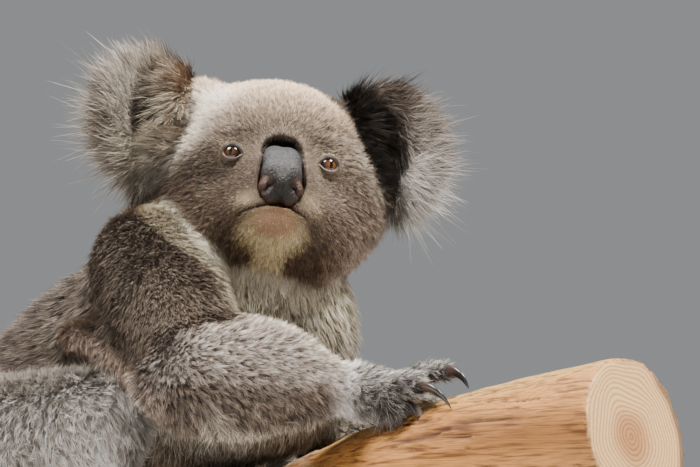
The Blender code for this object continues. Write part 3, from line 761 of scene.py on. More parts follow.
def fringes(points, table):
    """1 where long hair hangs below the right forearm and hand."""
    arm, paw = share_of(table, "forearm_right"), share_of(table, "hand_right")
    below = (arm + paw) * (1 - ramp(near_path(points, PALM), 0.004, 0.01))
    return np.maximum(arm * (1 - ramp(near_path(points, FRINGE), 0.004, 0.011)), below)


def ear_lining(q):
    """1 where long hair grows from the side of the head across the hollow of each ear."""
    start = np.where(q[:, 1] > 0, 0.053, 0.04)
    beyond = ramp(np.abs(q[:, 1]), start, start + 0.009) * ramp(q[:, 2], -0.002, 0.016)
    return beyond * (1 - ramp(q[:, 0], 0.016, 0.032)) * ramp(q[:, 0], -0.035, -0.02)


def lie(points, normals, table, edges):
    """The way the coat lies over each vertex, along the skin."""
    q = to_head(points)
    flow = np.zeros((len(points), 3))

    def lay(name, way):
        flow[:] += share_of(table, name)[:, None] * unit(way)

    down, back = np.array((0.0, 0.0, -1.0)), np.array((0.0, 0.85, -0.75))
    for name, (start, end) in BONES.items():
        lay(name, unit(end - start) + down * DOWNWARD[kind_of(name)])
    across = np.sign(points[:, [0]]) * np.abs(normals[:, [0]]) * np.array((0.35, 0.0, 0.0))
    hind = ramp(normals[:, 1], -0.3, 0.5)[:, None]
    for name, spread in (("chest", 1.0), ("neck", 1.4)):
        lay(name, hind * (back + across) + (1 - hind) * (down + spread * across))
    for name in ("belly", "rump"):
        lay(name, np.array((0.0, 0.75, -0.8)) + across)
    radial = unit(q - np.array((0.088, 0.0, -0.002)))
    cheek = ramp(np.abs(q[:, 1]), 0.02, 0.06) * (1 - ramp(q[:, 2], -0.01, 0.04))
    lay("head", radial @ HEAD_AXES + down * (0.9 * cheek)[:, None])
    for name in EARS:
        centre, axes = ear_frame(name)
        root = centre - axes[0] * 0.03
        lay(name, unit(points - root) + axes[0] * 1.2 - axes[2] * (0.15 if name == "ear_right" else 0.8))
        mine = share_of(table, "head") * ear_lining(q) * (np.sign(q[:, 1]) == EARS[name][0])
        flow += mine[:, None] * (2.0 * axes[0] - 3.0 * axes[2] + 2.0 * axes[1])
    flow += fringes(points, table)[:, None] * down * 3.0
    flow = smoothed(flow, edges, 8)
    return unit(flow - (flow * normals).sum(1, keepdims=True) * normals)


# ---- the coat
def coat_fields(skin):
    """What each vertex of the skin says of the locks that grow from it."""
    mesh = skin.data
    points, normals, edges = points_of(mesh), normals_of(mesh), edges_of(mesh)
    table = shares(points, edges, 4)
    root, tip = markings(points, normals, table)
    q = to_head(points)
    head = share_of(table, "head")
    length, lift, width, density, gather = (table @ coat_values(i) for i in range(1, 6))
    length = blend(length, head_length(q), head)
    near_nose = head * (1 - ramp(lengths(q - NOSE_PLACE), 0.035, 0.065))
    width = width * (1 - 0.25 * near_nose)
    gather = gather * (1 - 0.6 * near_nose)
    density = density * (1 + 0.75 * near_nose) * (1 - 0.45 * head * (1 - ramp(q[:, 0], -0.035, 0.015)))
    density = density * (1 - 0.93 * head * bare_chin(q))
    density = density * (1 - head * np.maximum(mouth_share(q), crescent(q)))
    long_ear = 0
    for name in EARS:
        centre, axes = ear_frame(name)
        outer = ramp((points - centre) @ (axes[0] - 0.7 * axes[2]), -0.015, 0.035)
        long_ear = long_ear + share_of(table, name) * outer
    inside = head * ear_lining(q)
    length = blend(length * (1 + 0.6 * long_ear), np.where(q[:, 1] > 0, 0.019, 0.0105), inside)
    lift, gather = blend(lift, 1.25, inside), blend(gather, 0.5, inside)
    density = density * (1 + 0.6 * inside)
    hanging = fringes(points, table)
    length, lift = length * (1 + 1.7 * hanging), lift * (1 - 0.5 * hanging)
    for side in (1, -1):
        offset, ahead, flat = lid_place(side, q)
        reach = lengths(offset)
        density = density * np.where((ahead > 0) & (reach < 0.016), ramp(flat, 1.06, 1.22), 1.0)
        length = length * np.where(reach < 0.02, 0.4 + 0.6 * ramp(flat, 1.2, 2.8), 1.0)
    density = density * (1 - ramp(smoothed_nose(points), 0.15, 0.75))
    return {
        "points": points, "normals": normals, "table": table, "root": root, "tip": tip, "length": length,
        "lift": lift, "width": width, "density": density, "gather": gather,
        "flow": lie(points, normals, table, edges), "ears": share_of(table, *EARS), "head": head,
    }


def sampled(fields, triangles, draw, share):
    """Roots of the locks, spread over the skin by its density, with every field read at each."""
    points = fields["points"]
    a, b, c = (points[triangles[:, i]] for i in range(3))
    area = lengths(np.cross(b - a, c - a)) / 2
    expected = area * 1e6 * fields["density"][triangles].mean(axis=1) * share
    count = np.floor(expected + draw.random(len(expected))).astype(int)
    which = np.repeat(np.arange(len(triangles)), count)
    u, v = draw.random(len(which)), draw.random(len(which))
    over = u + v > 1
    u[over], v[over] = 1 - u[over], 1 - v[over]
    weights = np.stack((1 - u - v, u, v), axis=1)
    corners = triangles[which]
    rows = {}
    for key, values in fields.items():
        if values.ndim == 1:
            rows[key] = (values[corners] * weights).sum(axis=1)
        else:
            rows[key] = np.einsum("ijk,ij->ik", values[corners], weights)
    return rows


def grown(rows, draw):
    """Each lock's three places along its length, its ways across and out, and its tuft's shade and pick of tone."""
    count = len(rows["points"])
    normal = unit(rows["normals"])
    flow = unit(rows["flow"] - (rows["flow"] * normal).sum(1, keepdims=True) * normal)
    across = np.cross(flow, normal)
    seeds = draw.choice(count, max(1, count // LOCKS_IN_TUFT), replace=False)
    tree = KDTree(len(seeds))
    for i, seed in enumerate(seeds):
        tree.insert(rows["points"][seed], i)
    tree.balance()
    tuft = np.array([tree.find(p)[1] for p in rows["points"].tolist()])
    tuft_turn = draw.normal(0, 0.34, len(seeds))[tuft]
    tuft_lift = draw.uniform(0.7, 1.25, len(seeds))[tuft]
    tuft_length = draw.uniform(0.8, 1.12, len(seeds))[tuft]
    tuft_shade = draw.normal(0, 1, len(seeds))[tuft]
    pick = draw.random(count)
    together = draw.random(count) < 0.9 * rows["gather"]
    pick = np.where(together, draw.random(len(seeds))[tuft], pick)
    turn = tuft_turn * (0.55 + 1.1 * rows["gather"]) + draw.normal(0, 0.16, count)
    way = flow * np.cos(turn)[:, None] + across * np.sin(turn)[:, None]
    length = rows["length"] * tuft_length * draw.uniform(0.78, 1.12, count)
    lift = rows["lift"] * tuft_lift * draw.uniform(0.75, 1.25, count)
    places = []
    for t in (0.0, 0.5, 1.0):
        rise = length * lift * (1.55 * t - 0.62 * t * t) - 0.0006 * (1 - t)
        places.append(rows["points"] + way * (length * t)[:, None] + normal * rise[:, None])
    stray = (draw.random(count) < 0.14 * rows["ears"]) * draw.uniform(0.2, 0.8, count)
    centre = rows["points"][seeds][tuft]
    drift = rows["points"] - centre
    pull = rows["gather"] * draw.uniform(0.5, 1.3, count)
    for place, share in zip(places[1:], (0.3, 0.9)):
        place -= drift * (pull * share)[:, None]
        place += way * (length * stray * share)[:, None]
    return places, unit(way), normal, tuft_shade, pick


def lock_colours(rows, draw, tuft_shade, pick):
    """Root, middle and tip of each lock: dark below, banded, and a pale or a dark tip here and there."""
    count = len(rows["points"])
    shade = np.exp(draw.normal(0, 0.26, count) + (0.06 + 0.34 * rows["gather"]) * tuft_shade)[:, None]
    root = rows["root"]
    tip = rows["tip"] * shade
    silver = (pick > 0.72)[:, None]
    smoke = (pick < 0.36)[:, None]
    pale = np.maximum(tip * 1.15, np.minimum(tip * 2.2, tint(226, 217, 206)))
    tip = tip + (pale - tip) * silver * 0.7
    smoke = smoke * (0.8 - 0.6 * ramp(root.mean(axis=1), 0.1, 0.25))[:, None]
    tip = tip + (root - tip) * smoke
    low = (0.5 + 0.4 * rows["gather"])[:, None]
    middle_colour = root * low + tip * (1 - low)
    return root * 0.7, middle_colour, tip


def atlas(points, table):
    """Where each root lies on the unwrap of the skin: a cell for each part, which a ball round it fills."""
    part = table.argmax(axis=1)
    columns = 5
    cell = np.array((1 / columns, 1 / math.ceil(len(OWNERS) / columns)))
    result = np.zeros((len(points), 2))
    for i, name in enumerate(OWNERS):
        mine = part == i
        way = unit(points[mine] - np.array(middle(name)))
        flat = way[:, :2] / np.abs(way).sum(axis=1, keepdims=True)
        turned = (1 - np.abs(flat[:, ::-1])) * np.where(flat >= 0, 1.0, -1.0)
        flat = np.where(way[:, 2:] < 0, turned, flat)
        result[mine] = np.array((i % columns, i // columns)) * cell + cell * (0.5 + 0.46 * flat)
    return result


PATCH = 0.0015  # half of the patch of the unwrap that one lock takes


def lock_mesh(name, rows, places, way, normal, colours, draw, short):
    """The locks as narrow pointed blades: three triangles with a bent middle, or one where the coat is short."""
    count = len(rows["points"])
    roll = draw.normal(0, 0.45, count)[:, None]
    side = unit(np.cross(way, normal) * np.cos(roll) + normal * np.sin(roll))
    half = (rows["width"] * draw.uniform(0.7, 1.3, count) / 2)[:, None]
    first, second, tip = places
    root, middle_colour, end = colours
    blade = unit(np.cross(side, second - first))
    blade *= np.sign((blade * normal).sum(1, keepdims=True))
    shown = unit(normal * 0.65 + blade * 0.55)
    lifted = unit(normal * 0.55 + blade * 0.45 + way * 0.25)
    if short:
        vertices, pattern = [first - side * half * 1.15, first + side * half * 1.15, tip], (0, 1, 2)
        painted, corner_places = (root, root, end), ((-1, -1), (1, -1), (0, 1))
    else:
        wide, narrow = side * half, side * half * 0.9
        vertices = [first - narrow, first + narrow, second - wide, second + wide, tip]
        pattern = (0, 1, 3, 0, 3, 2, 2, 3, 4)
        painted = (root, root, middle_colour, middle_colour, end)
        corner_places = ((-1, -1), (1, -1), (-1, 0), (1, 0), (0, 1))
    each, loops = len(vertices), len(pattern)
    shading = [shown] * (each - 1) + [lifted]
    corners = ((np.arange(count) * each)[:, None] + np.array(pattern)).ravel()
    mesh = bpy.data.meshes.new(name)
    mesh.vertices.add(count * each)
    mesh.vertices.foreach_set("co", np.stack(vertices, axis=1).astype(np.float32).ravel())
    mesh.loops.add(count * loops)
    mesh.loops.foreach_set("vertex_index", corners.astype(np.int32))
    mesh.polygons.add(count * loops // 3)
    mesh.polygons.foreach_set("loop_start", np.arange(0, count * loops, 3, dtype=np.int32))
    mesh.update(calc_edges=True)
    mesh.polygons.foreach_set("use_smooth", np.ones(count * loops // 3, bool))
    mesh.normals_split_custom_set_from_vertices(np.stack(shading, axis=1).reshape(-1, 3).astype(np.float32))
    paint_points(mesh, "fur", np.minimum(np.stack(painted, axis=1).reshape(-1, 3), 0.95))
    spots = (atlas(rows["points"], rows["table"])[:, None, :] + np.array(corner_places)[None] * PATCH).reshape(-1, 2)
    layer = mesh.uv_layers.new(name="OFBake")
    layer.uv.foreach_set("vector", spots[corners].astype(np.float32).ravel())
    return link(name, mesh)


def make_coat(skin, material):
    """The whole coat, in pieces small enough to export."""
    fields = coat_fields(skin)
    draw = np.random.default_rng(SEED)
    rows = sampled(fields, triangles_of(skin.data), draw, 1.0)
    places, way, normal, tuft_shade, pick = grown(rows, draw)
    colours = lock_colours(rows, draw, tuft_shade, pick)
    part = rows["table"].argmax(axis=1)
    short = rows["length"] < SHORT_LOCK
    print("locks", len(part), "long", int((~short).sum()), flush=True)
    number = 0
    for group, size in ((short, PIECE_TRIANGLES), (~short, PIECE_TRIANGLES // 3)):
        order = np.argsort(part, kind="stable")
        order = order[group[order]]
        for start in range(0, len(order), size):
            number += 1
            mine = order[start : start + size]
            some = {key: values[mine] for key, values in rows.items()}
            lines, shown = [p[mine] for p in places], [values[mine] for values in colours]
            piece = lock_mesh(f"coat_{number}", some, lines, way[mine], normal[mine], shown, draw, group is short)
            piece.data.materials.append(material)
            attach(piece, "root")
    return fields


# ---- eyes, lids, nose and claws
def grid_mesh(name, rows):
    """A mesh over rows of points, each row a ring."""
    rows = np.array(rows)
    lines, around = rows.shape[:2]
    faces = []
    for i in range(lines - 1):
        for j in range(around):
            k = (j + 1) % around
            faces.append((i * around + j, i * around + k, (i + 1) * around + k, (i + 1) * around + j))
    mesh = bpy.data.meshes.new(name)
    mesh.from_pydata(rows.reshape(-1, 3).tolist(), [], faces)
    return mesh


IRIS = 0.005  # radius of the iris on the eye's surface


def inward(side):
    """1 where the way across an eye's own axes runs to the nose, and -1 where it runs from it."""
    return -1.0 if eye_axes(side)[1][1] * side > 0 else 1.0


def make_eye(side, made):
    """The eyeball with its cornea; its own (across, up) places on the iris colour it."""
    name = f"eye_{SIDES[side]}"
    out, across, upward = eye_axes(side)
    turns = np.linspace(0, math.tau, 48, endpoint=False)
    circle = np.stack((np.cos(turns), np.sin(turns)), axis=1)
    ring = np.outer(circle[:, 0], across) + np.outer(circle[:, 1], upward)
    rows, marks = [], []
    for i in range(29):
        angle = 1e-3 + (math.pi - 2e-3) * (i / 28) ** 1.25
        radius = EYE_RADIUS * (0.985 + 0.055 * (1 - ramp(np.array(angle), 0.3, 0.85)))
        rows.append(from_head(eye_centre(side) + radius * (math.cos(angle) * out + math.sin(angle) * ring)))
        marks.append(circle * EYE_RADIUS * math.sin(angle) * (1 if angle < 1.4 else 9))
    eye = link(f"{name}_ball", grid_mesh(name, rows))
    marks = np.concatenate(marks) / IRIS
    marks[:, 0] += 0.16 * inward(side)
    x, y = marks.T
    reach = np.hypot(x, y)
    streaks = 0.85 + 0.15 * np.sin(17 * np.arctan2(y, x)) * np.sin(9 * reach)
    # painted shade: the iris darker under the upper lid, and the right eye darker all over as it lies in shade
    painted_eye_shade = (1 - 0.65 * ramp(y, 0.05, 0.75)) * (0.55 if side > 0 else 1.0)
    pupil = 1 - ramp(np.hypot(x / 0.2, y / 0.66), 0.8, 1.15)
    iris = layered(len(marks), (106, 64, 32), ((46, 28, 17), ramp(reach, 0.3, 0.92))) * (streaks * painted_eye_shade)[:, None]
    colour = layered(len(marks), iris, ((30, 20, 15), ramp(reach, 0.92, 1.06)), ((8, 6, 6), pupil))
    dressed(eye, made, "eye", colour)
    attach(eye, "root")
    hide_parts(name)


# across a lid, from the opening out: share of the way, share of the eye's radius, share of the thickness
LID_PROFILE = (
    (0.94, 0.97, 0.0), (0.96, 1.02, 0.4), (1.01, 1.045, 0.9), (1.08, 1.055, 1.0),
    (1.18, 1.05, 0.7), (1.35, 1.03, 0.2), (1.7, 1.0, 0.0), (2.2, 0.95, 0.0),
)


def make_lids(side, made):
    """The lids: a shell over the eye round its opening, thick at the rim and under the skin further out."""
    out, across, upward = eye_axes(side)
    lines, shades = [], []
    for turn in np.linspace(0, math.tau, 72, endpoint=False):
        corner = max(0.0, math.cos(turn) * inward(side)) ** 10
        above = 0.5 + 0.5 * math.sin(turn)
        high = OPENING[1] * (1 - 0.15 * corner) * (0.92 if math.sin(turn) > 0 else 0.86)
        flat = np.array((math.cos(turn) * OPENING[0] * (1 + 0.22 * corner), math.sin(turn) * high))
        reach = np.linalg.norm(flat)
        outward = (across * flat[0] + upward * flat[1]) / reach
        thick = 0.00065 + 0.00075 * above
        share = np.array((above,))
        wet = layered(1, (84, 62, 54), ((26, 19, 15), share))[0]
        dry = layered(1, (98, 82, 72), ((62, 52, 45), share))[0]
        line = []
        for spread, ball, full in LID_PROFILE:
            angle = reach * spread / EYE_RADIUS
            way = math.cos(angle) * out + math.sin(angle) * outward
            line.append(eye_centre(side) + way * (EYE_RADIUS * ball + thick * full))
            shades.append(wet + (dry - wet) * float(ramp(np.array(spread), 1.02, 1.16)))
        lines.append(line)
    name = f"lids_{SIDES[side]}"
    lids = link(name, grid_mesh(name, [from_head(row) for row in np.array(lines).transpose(1, 0, 2)]))
    colours = np.array(shades).reshape(len(lines), len(LID_PROFILE), 3).transpose(1, 0, 2)
    dressed(lids, made, "lid", colours.reshape(-1, 3))
    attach(lids, "root")


# balls that make up each half of the nose pad: forward, beside and up, then half depth, half width, half height
NOSE_FORM = (
    ((0.0585, 0.004, 0.0048), (0.01, 0.009, 0.0088)),
    ((0.0665, 0.0044, -0.002), (0.0106, 0.0092, 0.011)),
    ((0.0725, 0.004, -0.011), (0.0116, 0.0094, 0.012)),
    ((0.0735, 0.0088, -0.0215), (0.0098, 0.0062, 0.0078)),
    ((0.0725, 0.0055, -0.0262), (0.0086, 0.0074, 0.006)),
)
NOSE_TIP = ((0.0765, 0.0, -0.0185), (0.0118, 0.008, 0.0108))
# each nostril's two pits: beside, up, half width, half height, depth
NOSTRILS = ((0.0086, -0.0215, 0.0026, 0.003, 0.005), (0.0112, -0.0248, 0.0026, 0.0019, 0.003))
CLAW_DEPTH, CLAW_RING = 0.004, 16  # how deep a claw is at its root, and the points round it


def make_nose(made):
    """The bare pad: broad and blunt above, a dark tip, and a comma-shaped nostril in each wing."""
    bm = bmesh.new()
    turn = HEAD.to_3x3().to_4x4()
    balls = [((ahead, side * beside, up), radii) for side in (1, -1) for (ahead, beside, up), radii in NOSE_FORM]
    for place, (front, wide, high) in (*balls, NOSE_TIP):
        matrix = Matrix.Translation(in_head(*place)) @ turn @ Matrix.Diagonal((wide, front, high, 1.0))
        bmesh.ops.create_icosphere(bm, subdivisions=4, radius=1.0, matrix=matrix)
    nose = remeshed(link("nose_pad", written(bm, "nose_pad")), NOSE_VOXEL)
    points = smoothed(points_of(nose.data), edges_of(nose.data), 22)
    set_points(nose.data, points)
    forward, right, up = to_head(points).T
    carve, hole = np.zeros(len(points)), np.zeros(len(points))
    for side in (1, -1):
        for beside, height, wide, tall, deep in NOSTRILS:
            pit = bump(right, side * beside, wide) * bump(up, height, tall) * (forward > 0.068)
            carve += deep * pit
            hole = np.maximum(hole, pit)
    carve += 0.0007 * bump(right, 0.0, 0.0009) * (1 - ramp(up, -0.026, -0.02)) * (forward > 0.07)
    set_points(nose.data, points - normals_of(nose.data) * carve[:, None])
    wings = [bump(right, side * 0.0118, 0.004) * bump(up, -0.0205, 0.0062) for side in (1, -1)]
    colour = layered(
        len(points), (68, 67, 72),
        ((13, 11, 9), 1 - ramp(up + 0.3 * np.abs(right), -0.013, -0.004)),
        *(((80, 55, 42), np.clip(wing * 1.25, 0, 0.92)) for wing in wings),
        ((88, 54, 40), (1 - ramp(up, -0.0325, -0.0285)) * 0.8),
        # painted shade: the nostrils' pits near black
        ((20, 12, 10), np.clip(hole * 1.5 - 0.35, 0, 1)),
    )
    dressed(nose, made, "nose", colour)
    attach(nose, "root")
    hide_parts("nose")


def claw_rows(name, palm):
    """Rings of a smooth claw over the solid one: same root, tip, bow and depth."""
    points = points_of(nodes[name].data)
    far = lengths(points - palm)
    tip = points[far.argmax()]
    reach = lengths(points - tip)
    root = points[reach > 0.8 * reach.max()].mean(axis=0)
    chord = tip - root
    length = np.linalg.norm(chord)
    along = (points - root) @ chord / length**2
    mid = (along > 0.25) & (along < 0.75)
    bow = (points[mid] if mid.any() else points).mean(axis=0) - (root + tip) / 2
    bow -= chord * (bow @ chord) / length**2
    height = min(max(np.linalg.norm(bow) * 1.25, 0.12 * length), 0.3 * length)
    bow = unit(bow)
    side = unit(np.cross(chord, bow))
    rows = []
    for i in range(26):
        share = (i / 25) ** 0.9
        t = share * 1.12 - 0.12
        centre = root + chord * t + bow * height * (4 * t * (1 - t))
        upward = unit(np.cross(side, chord + bow * height * 4 * (1 - 2 * t)))
        thick = CLAW_DEPTH * (1 - share) ** 0.62 + 0.00012
        ring = []
        for angle in np.linspace(0, math.tau, CLAW_RING, endpoint=False):
            keel = math.sin(angle)
            across = math.cos(angle) * (0.56 if keel > 0 else 0.46)
            ring.append(centre + side * across * thick + upward * keel * thick)
        rows.append(ring)
    return [*rows, [np.array(rows[-1]).mean(axis=0)] * CLAW_RING]


def make_claws(paw, made):
    """The claws of one paw, joined: dark horn, paler at the root."""
    names = sorted(name for name in nodes if name.startswith(f"claw_{paw}_"))
    palm = np.array(middle("_".join(reversed(paw.split("_")))))
    bm, shades = bmesh.new(), []
    for name in names:
        rows = claw_rows(name, palm)
        mesh = grid_mesh(name, rows)
        bm.from_mesh(mesh)
        bpy.data.meshes.remove(mesh)
        share = np.repeat(np.linspace(0, 1, len(rows)), CLAW_RING)
        shades.append(layered(len(share), (74, 60, 52), ((26, 21, 19), ramp(share, 0.05, 0.5))))
    claws = link(f"claws_{paw}", written(bm, f"claws_{paw}"))
    dressed(claws, made, "claw", np.concatenate(shades))
    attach(claws, "root")
    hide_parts(*names)


# ---- the limb and the stand
def limb_ends():
    """The middles of the limb's two sawn ends."""
    points = points_of(nodes["perch_limb"].data)
    y = points[:, 1]
    return points[y < y.min() + 0.02].mean(axis=0), points[y > y.max() - 0.02].mean(axis=0)


def make_limb(made):
    """The limb: smooth split wood ahead, with long shallow cracks, and plates of rough bark behind."""
    bm = bmesh.new()
    bm.from_mesh(nodes["perch_limb"].data)
    bmesh.ops.remove_doubles(bm, verts=bm.verts, dist=1e-5)
    bmesh.ops.dissolve_limit(bm, angle_limit=1e-4, verts=bm.verts, edges=bm.edges)
    limb = remeshed(link("limb", written(bm, "limb")), LIMB_VOXEL)
    points, edges = points_of(limb.data), edges_of(limb.data)
    ends = np.minimum(points[:, 1] - points[:, 1].min(), points[:, 1].max() - points[:, 1])
    points = smoothed(points, edges, 24, 0.5 * ramp(ends, 0.012, 0.026)[:, None])
    set_points(limb.data, points)
    normals = normals_of(limb.data)
    side = ramp(np.abs(normals[:, 1]), 0.85, 0.6)
    stretched = points * np.array((1.0, 0.1, 1.0))
    lumps = noise(points, 0.085, 11) * 0.0012
    grain = noise(stretched, 0.01, 12) * 0.00035 + noise(stretched, 0.004, 13) * 0.00018
    split = noise(stretched * np.array((1.0, 0.5, 1.0)), 0.02, 14)
    cracks = bump(split, 0.15, 0.05) * ramp(noise(points, 0.09, 15), -0.3, 0.5)
    barked = ramp(points[:, 1] + 0.02 * noise(points, 0.04, 16), -0.125, -0.095)
    plates = noise(points * np.array((1.0, 0.45, 1.0)), 0.022, 17)
    furrow = 1 - ramp(np.abs(plates), 0.0, 0.35)
    rough = 0.001 + noise(points, 0.009, 18) * 0.0005 - furrow * 0.0022
    height = lumps + side * ((1 - barked) * (grain - cracks * 0.0016) + barked * rough)
    set_points(limb.data, points + normals * height[:, None])
    away = np.minimum(*(lengths(points - centre) for centre in limb_ends()))
    away = away + 0.0022 * noise(points, 0.03, 21)
    count = len(points)
    wood = layered(
        count, (184, 128, 66),
        ((128, 82, 38), ramp(noise(stretched, 0.03, 19), -0.5, 0.9) * 0.7),
        # painted light: paler and yellower where the wood faces up
        ((196, 190, 120), ramp(normals[:, 2], 0.7, 1.0) * 0.35),
        ((78, 50, 32), np.clip(cracks * 1.2, 0, 0.9)),
    )
    bark = layered(
        count, (168, 140, 112),
        ((96, 80, 68), np.clip(furrow * 1.1, 0, 0.95)),
        ((190, 170, 146), ramp(noise(points, 0.012, 20), 0.2, 1.0) * 0.5),
    )
    sawn = layered(
        count, (214, 174, 124),
        ((176, 126, 82), 1 - ramp(away, 0.008, 0.026)),
        ((112, 84, 62), ramp(away, 0.046, 0.052)),
    )
    marks = np.stack((np.clip(away / RING_REACH, 0, 1), 1 - side, np.zeros(count)), axis=1)
    paint_points(limb.data, "cut", marks)
    dressed(limb, made, "wood", layered(count, wood, (bark, barked), (sawn, 1 - side)))
    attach(limb, "root")
    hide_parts("perch_limb")


# ---- materials
WHITE = (1.0, 1.0, 1.0)
BARE_FLECK = (0.78, 0.77, 0.76)


def material(name, roughness, **sockets):
    made = bpy.data.materials.new(name)
    made.use_nodes = True
    shader = made.node_tree.nodes["Principled BSDF"]
    shader.inputs["Roughness"].default_value = roughness
    for socket, value in sockets.items():
        shader.inputs[socket.replace("_", " ")].default_value = value
    return made, made.node_tree, shader


def add(tree, kind, inputs=(), **settings):
    """A node with its settings, and with inputs given as numbers or as sockets."""
    node = tree.nodes.new(kind)
    for key, value in settings.items():
        setattr(node, key, value)
    for socket, value in dict(inputs).items():
        if isinstance(value, bpy.types.NodeSocket):
            tree.links.new(value, node.inputs[socket])
        else:
            node.inputs[socket].default_value = value
    return node


def textured(tree, scale, stretch=(1.0, 1.0, 1.0), detail=4.0):
    """A noise over the object's own coordinates, stretched along each axis."""
    place = add(tree, "ShaderNodeTexCoord").outputs["Object"]
    spread = add(tree, "ShaderNodeMapping", {"Vector": place, "Scale": stretch}).outputs["Vector"]
    return add(tree, "ShaderNodeTexNoise", {"Vector": spread, "Scale": scale, "Detail": detail}).outputs["Fac"]


def painted(tree, attribute):
    return add(tree, "ShaderNodeAttribute", attribute_name=attribute).outputs["Color"]


def spanned(tree, value, low, high):
    return add(tree, "ShaderNodeMapRange", {"Value": value, "To Min": low, "To Max": high}).outputs["Result"]


def ramped(tree, value, stops):
    node = add(tree, "ShaderNodeValToRGB", {"Fac": value})
    elements = node.color_ramp.elements
    while len(elements) < len(stops):
        elements.new(0.5)
    for element, (place, colour) in zip(elements, stops):
        element.position = place
        element.color = (*colour, 1.0)
    return node.outputs["Color"]


def times(tree, first, second, amount=1.0):
    node = add(tree, "ShaderNodeMix", data_type="RGBA", blend_type="MULTIPLY")
    node.inputs["Factor"].default_value = amount
    tree.links.new(first, node.inputs["A"])
    tree.links.new(second, node.inputs["B"])
    return node.outputs["Result"]


def bumped(tree, shader, height, strength, distance):
    node = add(tree, "ShaderNodeBump", {"Height": height, "Strength": strength, "Distance": distance})
    tree.links.new(node.outputs["Normal"], shader.inputs["Normal"])


def flecked(name, attribute, roughness, scale, low, strength, distance, **sockets):
    """A surface coloured by its own paint, with fine flecks as dark as low and a bump of the same scale."""
    made, tree, shader = material(name, roughness, **sockets)
    fine = textured(tree, scale)
    flecks = ramped(tree, fine, ((0.3, low), (0.7, WHITE)))
    tree.links.new(times(tree, painted(tree, attribute), flecks), shader.inputs["Base Color"])
    if strength:
        bumped(tree, shader, fine, strength, distance)
    return made


def nose_material():
    """Fine pebbled skin with a moist sheen."""
    made, tree, shader = material("nose", 0.5, Specular_IOR_Level=0.3, Coat_Weight=0.05, Coat_Roughness=0.35)
    place = add(tree, "ShaderNodeTexCoord").outputs["Object"]
    cells = add(tree, "ShaderNodeTexVoronoi", {"Vector": place, "Scale": 760.0}).outputs["Distance"]
    flecks = ramped(tree, cells, ((0.15, WHITE), (0.75, (0.5, 0.48, 0.47))))
    tree.links.new(times(tree, painted(tree, "nose"), flecks), shader.inputs["Base Color"])
    tree.links.new(spanned(tree, cells, 0.4, 0.62), shader.inputs["Roughness"])
    inverse = add(tree, "ShaderNodeMath", {0: 1.0, 1: cells}, operation="SUBTRACT").outputs["Value"]
    bumped(tree, shader, inverse, 0.8, 0.0008)
    return made


RING_REACH = 0.08  # how far from the limb's middle the painted distance for its rings runs
RING_WIDTH = 0.003


def wood_material():
    """The limb's own paint under long fibres and fine cracks, with rings on its sawn ends."""
    made, tree, shader = material("limb_wood", 0.62, Specular_IOR_Level=0.35)
    parts = add(tree, "ShaderNodeSeparateColor", {"Color": painted(tree, "cut")})
    turns = RING_REACH / RING_WIDTH * math.tau
    phase = add(tree, "ShaderNodeMath", {0: parts.outputs["Red"], 1: turns}, operation="MULTIPLY").outputs["Value"]
    wave = add(tree, "ShaderNodeMath", {0: phase}, operation="SINE").outputs["Value"]
    raised = add(tree, "ShaderNodeMapRange", {"Value": wave, "From Min": -1.0}).outputs["Result"]
    rings = ramped(tree, raised, ((0.15, (0.7, 0.62, 0.54)), (0.55, WHITE)))
    fibres = textured(tree, 420.0, (1.0, 0.05, 1.0), 6.0)
    threads = textured(tree, 1500.0, (1.0, 0.03, 1.0), 3.0)
    flecks = ramped(tree, fibres, ((0.36, (0.36, 0.28, 0.22)), (0.5, WHITE)))
    lines = ramped(tree, threads, ((0.36, (0.66, 0.6, 0.55)), (0.6, WHITE)))
    kinds = add(tree, "ShaderNodeMix", data_type="RGBA")
    tree.links.new(parts.outputs["Green"], kinds.inputs["Factor"])
    tree.links.new(times(tree, flecks, lines), kinds.inputs["A"])
    tree.links.new(rings, kinds.inputs["B"])
    tree.links.new(times(tree, painted(tree, "wood"), kinds.outputs["Result"]), shader.inputs["Base Color"])
    bumped(tree, shader, fibres, 0.55, 0.0012)
    return made


def stand_materials():
    """Oiled dark wood with a straight grain for the base, and brushed steel for the rods."""
    oiled, tree, shader = material("base_wood", 0.42, Specular_IOR_Level=0.5, Coat_Weight=0.15, Coat_Roughness=0.3)
    grain = textured(tree, 60.0, (6.0, 0.35, 6.0), 6.0)
    stops = (0.3, (0.04, 0.021, 0.012)), (0.55, (0.115, 0.062, 0.034)), (0.8, (0.165, 0.095, 0.052))
    tree.links.new(ramped(tree, grain, stops), shader.inputs["Base Color"])
    bumped(tree, shader, grain, 0.25, 0.0006)
    steel, tree, shader = material("rod_steel", 0.28, Metallic=1.0)
    brushed = textured(tree, 900.0, (1.0, 1.0, 0.02), 3.0)
    colour = ramped(tree, brushed, ((0.3, (0.44, 0.44, 0.45)), (0.7, (0.6, 0.6, 0.61))))
    tree.links.new(colour, shader.inputs["Base Color"])
    tree.links.new(spanned(tree, brushed, 0.22, 0.4), shader.inputs["Roughness"])
    for name, made in (("stand_base", oiled), ("stand_rod_front", steel), ("stand_rod_rear", steel)):
        nodes[name].data.materials.clear()
        nodes[name].data.materials.append(made)


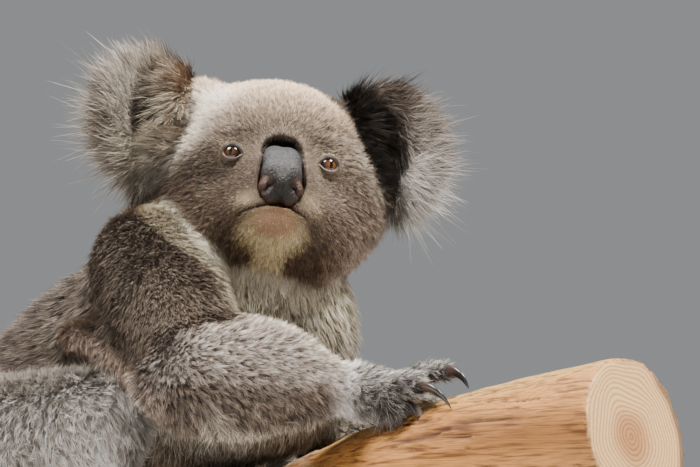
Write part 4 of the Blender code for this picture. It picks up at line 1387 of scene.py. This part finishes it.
# ---- build
skin = shaped_skin()
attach(skin, "root")
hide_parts(*FLESH, *EARS)
fur = flecked(
    "fur", "fur", 0.68, 160.0, (0.84, 0.83, 0.82), 0, 0, Specular_IOR_Level=0.14, Sheen_Weight=0.04, Sheen_Roughness=0.5
)
fields = make_coat(skin, fur)
bare = fields["head"] * bare_chin(to_head(fields["points"]))
under_coat = mixed(fields["root"] * 0.55 + fields["tip"] * 0.3, BARE_CHIN, bare)
skin_made = flecked("skin", "fur", 0.85, 1400.0, (0.55, 0.52, 0.5), 0.6, 0.0008, Specular_IOR_Level=0.2)
dressed(skin, skin_made, "fur", under_coat)

eye_made, tree, shader = material("eyes", 0.08, Specular_IOR_Level=0.45, Coat_Weight=0.5, Coat_Roughness=0.02)
tree.links.new(painted(tree, "eye"), shader.inputs["Base Color"])
lid_made = flecked("lids", "lid", 0.42, 1500.0, BARE_FLECK, 0.3, 0.0003, Specular_IOR_Level=0.5)
for side in SIDES:
    make_eye(side, eye_made)
    make_lids(side, lid_made)
make_nose(nose_material())
claw_made = flecked("claws", "claw", 0.28, 700.0, BARE_FLECK, 0.15, 0.0003, Coat_Weight=0.3, Coat_Roughness=0.2)
for paw in ("right_hand", "left_hand", "right_foot", "left_foot"):
    make_claws(paw, claw_made)
make_limb(wood_material())
stand_materials()

camera = link("camera", bpy.data.cameras.new("camera"))
bpy.context.scene.camera = camera
camera.data.sensor_width = SENSOR
camera.data.lens = SENSOR * CAMERA_DISTANCE * 1000 / (MILLIMETRES_PER_PIXEL * IMAGE_WIDTH)
level = math.cos(CAMERA_ELEVATION)
back = Vector((math.sin(CAMERA_AZIMUTH) * level, -math.cos(CAMERA_AZIMUTH) * level, math.sin(CAMERA_ELEVATION)))
camera.location = CAMERA_AIM + back * CAMERA_DISTANCE
camera.rotation_euler = back.to_track_quat("Z", "Y").to_euler()


def area_light(name, place, size, power, colour):
    data = bpy.data.lights.new(name, "AREA")
    data.size, data.energy, data.color = size, power, colour
    lamp = link(name, data)
    lamp.location = place
    lamp.rotation_euler = (Vector(place) - LIGHT_AIM).to_track_quat("Z", "Y").to_euler()


area_light("key", (0.42, -1.1, 2.3), 0.45, 140.0, (1.0, 0.95, 0.88))
area_light("rim", (0.3, 1.6, 2.0), 0.9, 26.0, (1.0, 0.95, 0.88))
area_light("fill", (-2.4, -1.2, 0.9), 1.8, 3.0, (0.95, 0.97, 1.0))
area_light("side", (-1.05, 0.25, 2.45), 0.8, 140.0, (1.0, 0.96, 0.91))
world = bpy.data.worlds.new("studio")
world.use_nodes = True
sky = world.node_tree.nodes["Background"]
sky.inputs["Color"].default_value = (0.86, 0.88, 0.9, 1.0)
sky.inputs["Strength"].default_value = 0.32
bpy.context.scene.world = world
floor_mesh = bpy.data.meshes.new("floor")
floor_mesh.from_pydata([(-3, -3, 0), (3, -3, 0), (3, 3, 0), (-3, 3, 0)], [], [(0, 1, 2, 3)])
floor = link("floor", floor_mesh)
